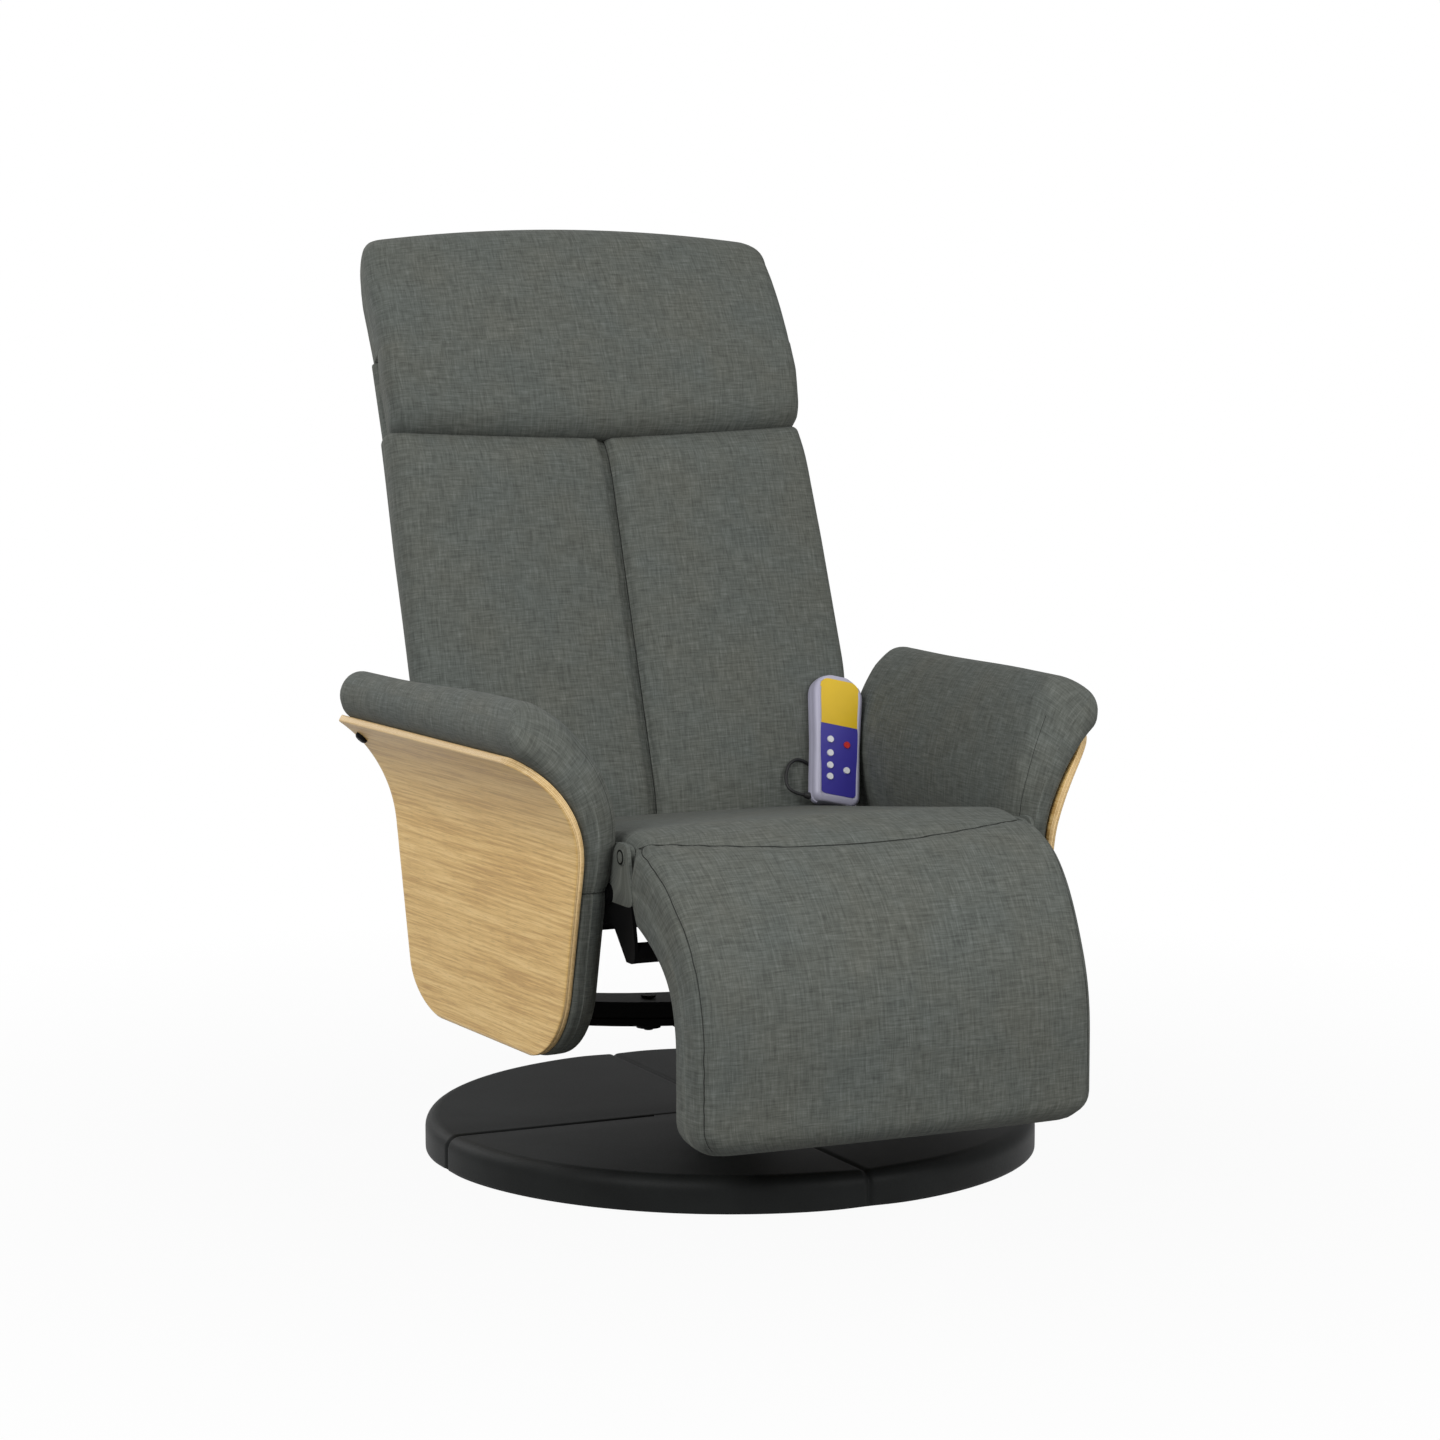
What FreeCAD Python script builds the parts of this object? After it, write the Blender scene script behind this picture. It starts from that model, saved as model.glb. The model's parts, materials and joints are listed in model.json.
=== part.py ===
import FreeCAD, Part
import math
import os
from types import SimpleNamespace

import Sketcher
from FreeCAD import Placement, Rotation, Vector

# A swivelling massage recliner: round base, bent oak arms, padded back with headrest,
# hanging footrest and a corded handset. Millimetres and degrees, +Z up, front towards -Y,
# origin on the floor at the swivel axis.

SIZES = {
    # round base and swivel
    "base_radius": 350,
    "base_height": 41,
    "base_edge_radius": 15,
    "cover_skin": 6,
    "floor_pad_thickness": 3,
    "floor_pad_inset": 18,
    "base_board_thickness": 22,
    "post_flange_radius": 95,
    "post_flange_thickness": 8,
    "post_boss_radius": 38,
    "post_boss_height": 30,
    "post_spigot_radius": 25,
    "post_spigot_height": 72,
    "bearing_thickness": 8,
    "hub_radius": 42,
    "hub_height": 77,
    "hub_flange_radius": 68,
    "hub_flange_thickness": 8,
    "hub_clearance": 0.05,
    "bolt_radius": 5,
    "bolt_head_radius": 8.5,
    "bolt_head_height": 6,
    "hole_clearance": 0.15,
    # curved crossbar under the seat
    "crossbar_bend_radius": 1620,
    "crossbar_depth": 62,
    "channel_height": 19,
    "channel_wall": 4,
    "strap_depth": 70,
    "strap_thickness": 8,
    "crossbar_bolt_x": 103,
    "nut_radius": 14,
    "nut_height": 6,
    "low_head_height": 2.5,
    "end_plate_thickness": 5,
    "end_plate_width": 124,
    "end_plate_height": 64,
    "end_bolt_spread": 94,
    "end_weld_gap": 0.6,
    # bent oak arms and their pads
    "arm_face_x": 305,
    "arm_splay": 3.2,
    "arm_panel_thickness": 9,
    "arm_bottom_z": 150,
    "arm_bend_z": 365,
    "arm_flare_radius": 143,
    "arm_flare_angle": 55,
    "arm_front_y": -266,
    "arm_foot_front_y": -190,
    "arm_foot_rear_y": 192,
    "arm_rear_y": 268,
    "arm_front_corner": 90,
    "arm_foot_front_corner": 80,
    "arm_foot_rear_corner": 45,
    "arm_reach": 440,
    "pad_gap": 0.2,
    "pad_waist": 28,
    "pad_foot": 24,
    "pad_roll": 57,
    "pad_inner_radius": 309,
    "pad_front_lip": 4,
    "pad_front_corner": 150,
    "pad_edge_radius": 11,
    "insert_depth": 5,
    "flare_bolt_radius": 8,
    "flare_bolt_height": 5,
    "flare_shank_radius": 2.5,
    # seat frame
    "rail_x": 237.5,
    "rail_thickness": 4,
    "rail_depth": 34,
    "ear_radius": 11,
    "rail_nose_run": 55,
    "rail_chin_run": 33,
    "rail_heel_run": 22,
    "spacer_radius": 10,
    "spacer_front_y": -120,
    "spacer_front_z": 270,
    "lobe_half_width": 19,
    "spacer_rear_y": 110,
    "tube_radius": 12,
    "tube_front_run": 105,
    "tube_rear_inset": 98,
    "back_pivot_setback": 27,
    "back_pivot_z": 330,
    "foot_pivot_y": -253,
    "foot_pivot_z": 384,
    "pivot_radius": 5,
    "pivot_head_radius": 8,
    "pivot_head_height": 2,
    "running_clearance": 0.05,
    # seat
    "seat_front_y": -253,
    "seat_front_z": 394,
    "seat_tilt": 5.5,
    "seat_length": 478,
    "seat_half_width": 230.5,
    "seat_cushion_thickness": 58,
    "seat_crown": 9,
    "seat_board_thickness": 12,
    "seat_board_inset": 14,
    "side_bulge": 4,
    "cushion_gap": 0.3,
    "motor_radius": 28,
    "motor_height": 18,
    "motor_clearance": 1,
    "motor_x": 112,
    "seat_motor_run": 225,
    "control_box_width": 150,
    "control_box_length": 96,
    "control_box_height": 36,
    "control_box_run": 190,
    "inlet_radius": 9,
    "inlet_length": 14,
    # back and headrest
    "back_overlap": 20,
    "back_z": 348,
    "back_angle": 18.7,
    "back_length": 473,
    "back_half_width": 283,
    "back_cushion_depth": 60,
    "back_crown": 15,
    "back_edge_set": 10,
    "back_heel_rise": 28,
    "back_foot_taper": 26,
    "back_top_taper": 5,
    "back_board_thickness": 12,
    "back_board_half_width": 226,
    "back_board_start": 36,
    "board_top_drop": 63,
    "back_cover_depth": 30,
    "cover_top_gap": 2,
    "head_gap": 3,
    "head_length": 287,
    "head_rear": 99,
    "head_rear_rise": 127,
    "head_rear_taper": 16,
    "head_half_width": 274,
    "head_motor_rise": 75,
    "back_motor_run": 275,
    "bracket_thickness": 4,
    "bracket_x": 232.5,
    "bracket_strap_width": 34,
    "bracket_strap_length": 130,
    # recline linkage
    "back_crank_radius": 91.15,
    "back_crank_angle": 27.42,
    "foot_crank_radius": 55,
    "foot_crank_angle": 37.8,
    "link_width": 22,
    "link_thickness": 3,
    "link_gap": 0.3,
    "link_slot_rise": 2.6,
    # hanging footrest
    "foot_curve_y": -224,
    "foot_curve_z": 190,
    "foot_curve_radius": 200,
    "foot_thickness": 70,
    "foot_crown": 10,
    "foot_half_width": 231,
    "foot_bottom_z": 88,
    "foot_top_angle": 80,
    "foot_board_thickness": 11,
    "foot_board_angle": 64,
    "foot_board_half_width": 215,
    "foot_board_bottom_z": 116,
    "foot_tube_radius": 11,
    "foot_ear_gap": 0.4,
    # handset
    "handset_x": 220,
    "handset_forward": 20,
    "handset_z": 354,
    "handset_lean": 23,
    "handset_roll": 13,
    "handset_length": 164,
    "handset_foot_width": 62,
    "handset_head_width": 67,
    "handset_rear_depth": 13,
    "handset_front_depth": 11,
    "handset_wall": 2,
    "handset_foot_corner": 13,
    "handset_head_corner": 19,
    "window_inset": 6,
    "window_foot": 9,
    "window_corner": 8,
    "window_head_corner": 12,
    "panel_corner": 1,
    "panel_thickness": 3,
    "panel_recess": 0.3,
    "panel_gap": 0.2,
    "display_start": 99,
    "button_radius": 4.1,
    "button_clearance": 0.3,
    "button_proud": 1.4,
    "button_flange": 1.2,
    "board_thickness": 1.6,
    "relief_length": 7,
    "relief_radius": 4.5,
    "cord_radius": 2,
    "cord_exit_forward": 20,
    "cord_exit_z": 318.5,
    "relief_run": 8,
    "relief_tip_radius": 2.8,
    "cord_first_run": 15,
    "grommet_radius": 4.5,
    "grommet_flange": 8,
    "grommet_lip": 2.5,
}

# the handset cord's free route, after it leaves the handset and before it enters the rail:
# across, behind the back's foot, and up
CORD_ROUTE = (
    (164, -14, 386), (171, -4, 406), (188, 2.5, 415), (207, 3, 404), (224, -1, 385),
    (240, -6, 370), (252, -11, 356), (264, -14, 343), (263, -18, 326), (249, -20, 318.5),
)
for number, spot in enumerate(CORD_ROUTE):
    for axis, place in zip("xyz", spot):
        SIZES[f"cord_{axis}_{number}"] = place

doc = FreeCAD.newDocument("massage_recliner")
sheet = doc.addObject("Spreadsheet::Sheet", "dims")
for row, (name, number) in enumerate(SIZES.items(), 1):
    sheet.set(f"A{row}", name)
    sheet.set(f"B{row}", str(number))
    sheet.setAlias(f"B{row}", name)
doc.recompute()


class Size:
    """A number together with the sheet formula that it comes from."""

    def __init__(self, number, formula):
        self.number = float(number)
        self.formula = formula

    def __float__(self):
        return self.number

    def __add__(self, other):
        other = as_size(other)
        return Size(self.number + other.number, f"({self.formula} + {other.formula})")

    __radd__ = __add__

    def __neg__(self):
        return Size(-self.number, f"(0 - {self.formula})")

    def __sub__(self, other):
        return self + (-as_size(other))

    def __rsub__(self, other):
        return as_size(other) + (-self)

    def __mul__(self, other):
        other = as_size(other)
        return Size(self.number * other.number, f"({self.formula} * {other.formula})")

    __rmul__ = __mul__

    def __truediv__(self, other):
        other = as_size(other)
        return Size(self.number / other.number, f"({self.formula} / {other.formula})")


def as_size(value):
    return value if isinstance(value, Size) else Size(value, f"{float(value):.9g}")


def sine(angle):
    return Size(math.sin(math.radians(float(angle))), f"sin({angle.formula})")


def cosine(angle):
    return Size(math.cos(math.radians(float(angle))), f"cos({angle.formula})")


s = SimpleNamespace(**{name: Size(sheet.get(name), f"dims.{name}") for name in SIZES})
SEAT_REAR_Y = s.seat_front_y + s.seat_length
BACK_PIVOT_Y = SEAT_REAR_Y + s.back_pivot_setback
BACK_Y = SEAT_REAR_Y - s.back_overlap
HANDSET_Y = BACK_Y - s.handset_forward
CORD_EXIT_Y = BACK_Y - s.cord_exit_forward
HEAD_START = s.back_length + s.head_gap
HEAD_MOTOR_RUN = HEAD_START + s.head_motor_rise
HEAD_REAR_START = s.back_length + s.head_rear_rise
COVER_LENGTH = HEAD_REAR_START - s.cover_top_gap
BOARD_LENGTH = HEAD_START + s.head_length - s.board_top_drop - s.back_board_start
ZERO = as_size(0)
X_AXIS = Vector(1, 0, 0)
Y_AXIS = Vector(0, 1, 0)
Z_AXIS = Vector(0, 0, 1)
HOME = Placement()
PLANE_AXES = {"XY": (0, 1), "XZ": (0, 2), "YZ": (1, 2)}
pieces = []


# Construction helpers

def bind(thing, name, size):
    thing.setExpression(name, as_size(size).formula)


def point(x, y, z):
    return Vector(float(x), float(y), float(z))


def piece(thing, label):
    """Names a finished sub-part and puts it on the list of those to write."""
    thing.Label = label
    pieces.append(thing)
    return thing


def rod(radius, length, foot, along, frame=HOME):
    """A round bar from its foot point along a direction."""
    bar = doc.addObject("Part::Cylinder", "rod")
    bind(bar, "Radius", radius)
    bind(bar, "Height", length)
    bar.Placement = frame * Placement(point(*foot), Rotation(Z_AXIS, along))
    return bar


def block(wide, deep, high, corner, frame=HOME):
    """A box from its lowest corner."""
    brick = doc.addObject("Part::Box", "block")
    bind(brick, "Length", wide)
    bind(brick, "Width", deep)
    bind(brick, "Height", high)
    brick.Placement = frame * Placement(point(*corner), Rotation())
    return brick


def cut(base, tool):
    result = doc.addObject("Part::Cut", "cut")
    result.Base = base
    result.Tool = tool
    return result


def common(first, second):
    result = doc.addObject("Part::Common", "common")
    result.Base = first
    result.Tool = second
    return result


def fuse(*members):
    result = doc.addObject("Part::MultiFuse", "fuse")
    result.Shapes = list(members)
    return result


def group(members):
    """Several separate solids that share one name."""
    result = doc.addObject("Part::Compound", "group")
    result.Links = list(members)
    return result


def mirrored(source):
    """The left-hand copy of a right-hand piece."""
    copy = doc.addObject("Part::Mirroring", "mirrored")
    copy.Source = source
    copy.Normal = X_AXIS
    return copy


def pair(thing, name):
    """A right-hand piece and its mirrored left-hand twin."""
    piece(thing, "right_" + name)
    piece(mirrored(thing), "left_" + name)
    return thing


def new_sketch(body, plane):
    sketch = body.newObject("Sketcher::SketchObject", "sketch")
    support = [f for f in body.Origin.OriginFeatures if f.Role == plane + "_Plane"][0]
    sketch.AttachmentSupport = [(support, "")]
    sketch.MapMode = "FlatFace"
    return sketch


def tie_point(sketch, edge, end, corner):
    """Holds one end of a sketch edge at a place given by two sizes."""
    for kind, size in (("DistanceX", corner[0]), ("DistanceY", corner[1])):
        size = as_size(size)
        number = sketch.addConstraint(Sketcher.Constraint(kind, -1, 1, edge, end, float(size)))
        sketch.setExpression(f"Constraints[{number}]", size.formula)


def draw_outline(sketch, corners, arcs):
    """Draws a closed outline; arcs maps an edge to its radius and +1 or -1 for the side it bulges to."""
    count = len(corners)
    ends = []
    for edge in range(count):
        here = Vector(*[float(c) for c in corners[edge]])
        there = Vector(*[float(c) for c in corners[(edge + 1) % count]])
        if edge not in arcs:
            sketch.addGeometry(Part.LineSegment(here, there), False)
            ends.append((1, 2))
            continue
        radius, side = arcs[edge]
        chord = there - here
        half = chord.Length / 2
        reach = math.sqrt(max(float(radius) ** 2 - half ** 2, 0.0))
        left = Vector(-chord.y, chord.x, 0).normalize()
        centre = (here + there) * 0.5 + left * (reach * side)
        circle = Part.Circle(centre, Z_AXIS, float(radius))
        start, stop = (here, there) if side > 0 else (there, here)
        first = math.atan2(start.y - centre.y, start.x - centre.x)
        last = math.atan2(stop.y - centre.y, stop.x - centre.x)
        sketch.addGeometry(Part.ArcOfCircle(circle, first, last), False)
        ends.append((1, 2) if side > 0 else (2, 1))
    for edge in range(count):
        after = (edge + 1) % count
        sketch.addConstraint(Sketcher.Constraint("Coincident", edge, ends[edge][1], after, ends[after][0]))
    for edge, corner in enumerate(corners):
        tie_point(sketch, edge, ends[edge][0], corner)
    for edge, (radius, side) in arcs.items():
        number = sketch.addConstraint(Sketcher.Constraint("Radius", edge, float(radius)))
        sketch.setExpression(f"Constraints[{number}]", as_size(radius).formula)


def edges_at(shape, plane, corner):
    """Names of the straight edges that stand on one corner of an outline."""
    first, second = PLANE_AXES[plane]
    names = []
    for number, edge in enumerate(shape.Edges, 1):
        ends = [v.Point for v in edge.Vertexes]
        if len(ends) != 2:
            continue
        off = [abs(p[first] - float(corner[0])) + abs(p[second] - float(corner[1])) for p in ends]
        if max(off) < TOUCH:
            names.append(f"Edge{number}")
    return names


TOUCH = 1e-4


def plate(plane, corners, depth, rounds=(), holes=(), arcs=None, frame=HOME, symmetric=False):
    """A padded outline with rounded corners and through holes; holes are (u, v, radius)."""
    body = doc.addObject("PartDesign::Body", "plate")
    sketch = new_sketch(body, plane)
    draw_outline(sketch, corners, arcs or {})
    last = body.newObject("PartDesign::Pad", "pad")
    last.Profile = sketch
    bind(last, "Length", depth)
    if symmetric:
        last.SideType = "Symmetric"
    doc.recompute()
    for radius, picks in rounds:
        names = [n for pick in picks for n in edges_at(last.Shape, plane, corners[pick])]
        fillet = body.newObject("PartDesign::Fillet", "round")
        fillet.Base = (last, names)
        bind(fillet, "Radius", radius)
        doc.recompute()
        last = fillet
    if holes:
        drill = new_sketch(body, plane)
        for number, (u, v, radius) in enumerate(holes):
            drill.addGeometry(Part.Circle(point(u, v, 0), Z_AXIS, float(radius)), False)
            tie_point(drill, number, 3, (u, v))
            ring = drill.addConstraint(Sketcher.Constraint("Radius", number, float(radius)))
            drill.setExpression(f"Constraints[{ring}]", as_size(radius).formula)
        before = last.Shape.Volume
        pocket = body.newObject("PartDesign::Pocket", "drilled")
        pocket.Profile = drill
        pocket.Type = "ThroughAll"
        pocket.SideType = "Symmetric"
        doc.recompute()
        if pocket.Shape.Volume >= before:
            raise RuntimeError("a hole cut nothing")
    body.Placement = frame
    return body


def turned(profile, rounds=(), frame=HOME):
    """A profile of (radius, height) corners turned about the upright axis."""
    body = doc.addObject("PartDesign::Body", "turned")
    sketch = new_sketch(body, "XZ")
    draw_outline(sketch, profile, {})
    last = body.newObject("PartDesign::Revolution", "turn")
    last.Profile = sketch
    last.ReferenceAxis = (sketch, ["V_Axis"])
    last.Angle = 360
    doc.recompute()
    for radius, pick in rounds:
        reach, height = (float(c) for c in profile[pick])
        names = []
        for number, edge in enumerate(last.Shape.Edges, 1):
            rim = edge.Curve
            if not isinstance(rim, Part.Circle):
                continue
            if abs(rim.Radius - reach) + abs(rim.Center.z - height) < TOUCH:
                names.append(f"Edge{number}")
        fillet = body.newObject("PartDesign::Fillet", "round")
        fillet.Base = (last, names)
        bind(fillet, "Radius", radius)
        doc.recompute()
        last = fillet
    body.Placement = frame
    return body


def straight(a, b):
    return Part.LineSegment(a, b).toShape()


def curved(a, middle, b):
    return Part.Arc(a, middle, b).toShape()


def loft(wires, frame=HOME):
    """A soft form lofted through closed sections of lines and arcs."""
    solid = doc.addObject("Part::Feature", "soft_form")
    solid.Shape = Part.makeLoft(wires, True, False)
    solid.Placement = frame
    return solid


# Frames that the seat, the back, the arms and the handset are built in

SEAT = Placement(point(0, s.seat_front_y, s.seat_front_z), Rotation(X_AXIS, -float(s.seat_tilt)))
BACK = Placement(point(0, BACK_Y, s.back_z), Rotation(X_AXIS, -float(s.back_angle)))
ARM_SHIFT = s.arm_face_x * sine(s.arm_splay)
ARM = Placement(point(0, ARM_SHIFT, 0), Rotation(Z_AXIS, -float(s.arm_splay)))
HANDSET = Placement(
    point(s.handset_x, HANDSET_Y, s.handset_z),
    Rotation(Y_AXIS, float(s.handset_roll)) * Rotation(X_AXIS, 90 - float(s.handset_lean)),
)
BOARD_TOP = s.floor_pad_thickness + s.base_board_thickness
FLANGE_TOP = BOARD_TOP + s.post_flange_thickness
BOSS_TOP = FLANGE_TOP + s.post_boss_height
BEARING_TOP = BOSS_TOP + s.bearing_thickness
HUB_TOP = BEARING_TOP + s.hub_height


# Round base and swivel

def bolts_on_circle(pitch_radius, count, foot_z, shank, head_up):
    """Upright bolts spread evenly on a circle, heads above or below the shank."""
    bolts = []
    for number in range(count):
        turn = math.radians(360 * (number + 0.5) / count)
        x = float(pitch_radius) * math.cos(turn)
        y = float(pitch_radius) * math.sin(turn)
        head_z = foot_z + shank if head_up else foot_z - s.bolt_head_height
        bolts.append(fuse(
            rod(s.bolt_radius, shank, (x, y, foot_z), Z_AXIS),
            rod(s.bolt_head_radius, s.bolt_head_height, (x, y, head_z), Z_AXIS),
        ))
    return group(bolts)


def holes_on_circle(pitch_radius, count, foot_z, length):
    holes = []
    for number in range(count):
        turn = math.radians(360 * (number + 0.5) / count)
        x = float(pitch_radius) * math.cos(turn)
        y = float(pitch_radius) * math.sin(turn)
        holes.append(rod(s.bolt_radius + s.hole_clearance, length, (x, y, foot_z), Z_AXIS))
    return group(holes)


BASE_BOLT_COUNT = 6
HUB_BOLT_COUNT = 4
FLANGE_PITCH_SHARE = 0.72
HUB_PITCH_SHARE = 0.8
BOLT_GRIP_SHARE = 0.6


def make_base():
    pad_radius = s.base_radius - s.floor_pad_inset
    piece(rod(pad_radius, s.floor_pad_thickness, (0, 0, 0), Z_AXIS), "base_floor_pad")
    board_radius = s.base_radius - s.cover_skin
    pitch = s.post_flange_radius * FLANGE_PITCH_SHARE
    grip = s.base_board_thickness * BOLT_GRIP_SHARE
    bolt_foot = BOARD_TOP - grip
    shank = grip + s.post_flange_thickness
    board = rod(board_radius, s.base_board_thickness, (0, 0, s.floor_pad_thickness), Z_AXIS)
    piece(cut(board, holes_on_circle(pitch, BASE_BOLT_COUNT, bolt_foot, shank)), "base_board")
    mouth = s.post_flange_radius + s.hole_clearance
    cover = turned([
        (mouth, BOARD_TOP), (board_radius, BOARD_TOP), (board_radius, s.floor_pad_thickness),
        (s.base_radius, s.floor_pad_thickness), (s.base_radius, s.base_height), (mouth, s.base_height),
    ], [(s.base_edge_radius, 4)])
    piece(cover, "base_cover")
    post = turned([
        (ZERO, BOARD_TOP), (s.post_flange_radius, BOARD_TOP), (s.post_flange_radius, FLANGE_TOP),
        (s.post_boss_radius, FLANGE_TOP), (s.post_boss_radius, BOSS_TOP), (s.post_spigot_radius, BOSS_TOP),
        (s.post_spigot_radius, BOSS_TOP + s.post_spigot_height), (ZERO, BOSS_TOP + s.post_spigot_height),
    ])
    piece(cut(post, holes_on_circle(pitch, BASE_BOLT_COUNT, bolt_foot, shank)), "swivel_post")
    piece(bolts_on_circle(pitch, BASE_BOLT_COUNT, bolt_foot, shank, True), "swivel_post_bolts")
    piece(turned([
        (s.post_spigot_radius + s.hub_clearance, BOSS_TOP), (s.post_boss_radius, BOSS_TOP),
        (s.post_boss_radius, BEARING_TOP), (s.post_spigot_radius + s.hub_clearance, BEARING_TOP),
    ]), "swivel_thrust_bearing")


def make_hub():
    bore = s.post_spigot_radius + s.hub_clearance
    bore_top = BOSS_TOP + s.post_spigot_height + s.nut_height / 2
    flange_low = HUB_TOP - s.hub_flange_thickness
    hub = turned([
        (bore, BEARING_TOP), (s.hub_radius, BEARING_TOP), (s.hub_radius, flange_low),
        (s.hub_flange_radius, flange_low), (s.hub_flange_radius, HUB_TOP), (ZERO, HUB_TOP),
        (ZERO, bore_top), (bore, bore_top),
    ])
    pitch = s.hub_flange_radius * HUB_PITCH_SHARE
    shank = s.hub_flange_thickness
    piece(cut(hub, holes_on_circle(pitch, HUB_BOLT_COUNT, flange_low, shank)), "swivel_hub")
    piece(bolts_on_circle(pitch, HUB_BOLT_COUNT, flange_low, shank, False), "hub_bolts")


# Curved crossbar that carries the arms

BAR_CENTRE_Z = HUB_TOP + s.crossbar_bend_radius
END_PLATE_REACH = s.arm_face_x - s.arm_panel_thickness - s.pad_waist - s.end_plate_thickness
BAR_HALF = END_PLATE_REACH - s.strap_depth * sine(s.arm_splay) / 2 - s.end_weld_gap


def bowed_bar(low, high, depth):
    """A bar bowed like a smile, between two distances above the hub, symmetric about the XZ plane."""
    outer = rod(s.crossbar_bend_radius - low, depth, (0, depth / -2, BAR_CENTRE_Z), Y_AXIS)
    inner = rod(s.crossbar_bend_radius - high, depth, (0, depth / -2, BAR_CENTRE_Z), Y_AXIS)
    window = block(BAR_HALF * 2, depth, s.crossbar_bend_radius, (-BAR_HALF, depth / -2, ZERO))
    return common(cut(outer, inner), window)


NUT_PROUD_SHARE = 1.5


def make_crossbar():
    strap_top = s.strap_thickness
    bar_top = strap_top + s.channel_height
    shell = bowed_bar(strap_top, bar_top, s.crossbar_depth)
    hollow = bowed_bar(
        strap_top - s.channel_wall, bar_top - s.channel_wall, s.crossbar_depth - s.channel_wall * 2)
    nut_side = s.crossbar_bolt_x - s.nut_radius
    head_side = s.crossbar_bolt_x + s.bolt_head_radius
    nut_top = HUB_TOP + nut_side * nut_side / s.crossbar_bend_radius / 2 - s.pad_gap
    head_low = HUB_TOP + head_side * head_side / s.crossbar_bend_radius / 2 + bar_top + s.pad_gap
    low = nut_top - s.nut_height * NUT_PROUD_SHARE
    shank = head_low + s.low_head_height - low
    drills = []
    bolts = []
    for side in (1, -1):
        x = s.crossbar_bolt_x * side
        drills.append(rod(s.bolt_radius + s.hole_clearance, s.base_height, (x, 0, low), Z_AXIS))
        bolts.append(fuse(
            rod(s.bolt_radius, shank, (x, 0, low), Z_AXIS),
            rod(s.nut_radius, s.nut_height, (x, 0, nut_top - s.nut_height), Z_AXIS),
            rod(s.bolt_head_radius, s.low_head_height, (x, 0, head_low), Z_AXIS),
        ))
    piece(cut(cut(shell, hollow), group(drills)), "crossbar")
    piece(cut(bowed_bar(ZERO, strap_top, s.strap_depth), group(drills)), "crossbar_strap")
    piece(group(bolts), "crossbar_bolts")


# Bent oak arm panels and upholstered pads

ARM_TOP = s.arm_bend_z + s.arm_flare_radius * sine(s.arm_flare_angle)
WOOD_IN = s.arm_face_x - s.arm_panel_thickness
PAD_OUT = WOOD_IN - s.pad_gap
PAD_WAIST_X = WOOD_IN - s.pad_waist
PAD_FOOT_X = WOOD_IN - s.pad_foot
FLARE_X = s.arm_face_x + s.arm_flare_radius
END_BOLT_Z = HUB_TOP + s.strap_thickness + s.channel_height / 2 + (
    BAR_HALF * BAR_HALF / s.crossbar_bend_radius / 2)
RAIL_Z = s.back_pivot_z - s.rail_depth / 4


def flare_point(radius):
    return (FLARE_X - radius * cosine(s.arm_flare_angle), s.arm_bend_z + radius * sine(s.arm_flare_angle))


def arm_outline(front_lip, top_z, top_front_corner):
    """The shield outline of an arm seen from the side, as a long prism to intersect with."""
    slope = (s.arm_rear_y - s.arm_foot_rear_y) / (ARM_TOP - s.arm_bottom_z)
    rear_y = s.arm_foot_rear_y + slope * (top_z - s.arm_bottom_z)
    corners = [
        (rear_y, top_z), (s.arm_front_y - front_lip, top_z),
        (s.arm_foot_front_y - front_lip, s.arm_bottom_z), (s.arm_foot_rear_y, s.arm_bottom_z),
    ]
    rounds = [
        (top_front_corner, [1]), (s.arm_foot_front_corner, [2]), (s.arm_foot_rear_corner, [3]),
    ]
    return plate("YZ", corners, s.arm_reach, rounds, frame=ARM)


def arm_bolt_places():
    """Side-view places where bolts enter the arm: crossbar end plate, then rail spacers."""
    half = s.end_bolt_spread / 2
    return [
        (half, END_BOLT_Z), (-half, END_BOLT_Z),
        (s.spacer_front_y + ARM_SHIFT, s.spacer_front_z), (s.spacer_rear_y, RAIL_Z),
    ]


def arm_drills(clearance):
    """Holes through the pad and into the panel, square to the panel."""
    start = PAD_WAIST_X - s.bolt_head_radius
    length = WOOD_IN + s.insert_depth - start
    bores = []
    for number, (y, z) in enumerate(arm_bolt_places()):
        radius = s.bolt_radius if number < 2 else s.spacer_radius
        bores.append(rod(radius + clearance, length, (start, y, z), X_AXIS, ARM))
    return group(bores)


FLARE_BOLT_SHARE = 0.8
FLARE_BOLT_INSET_SHARE = 3.0
DOME_SHARE = 0.8


def pad_rims(shape, skin):
    """The edges of an arm pad that stand clear of the oak panel and turn a corner."""
    rims = []
    for edge in shape.Edges:
        middle = edge.valueAt((edge.FirstParameter + edge.LastParameter) / 2)
        local = ARM.inverse().multVec(middle)
        off = abs(local.x - float(PAD_OUT))
        if local.z > float(s.arm_bend_z):
            off = abs(math.hypot(local.x - float(FLARE_X), local.z - float(s.arm_bend_z)) - skin)
        faces = shape.ancestorsOfType(edge, Part.Face)
        normals = []
        for face in faces:
            u, v = face.Surface.parameter(middle)
            normals.append(face.normalAt(u, v))
        turns = len(normals) == 2 and normals[0].getAngle(normals[1]) > CORNER_ANGLE
        if off > float(s.pad_gap) and turns:
            rims.append(edge)
    return rims


CORNER_ANGLE = math.radians(30)


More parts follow.
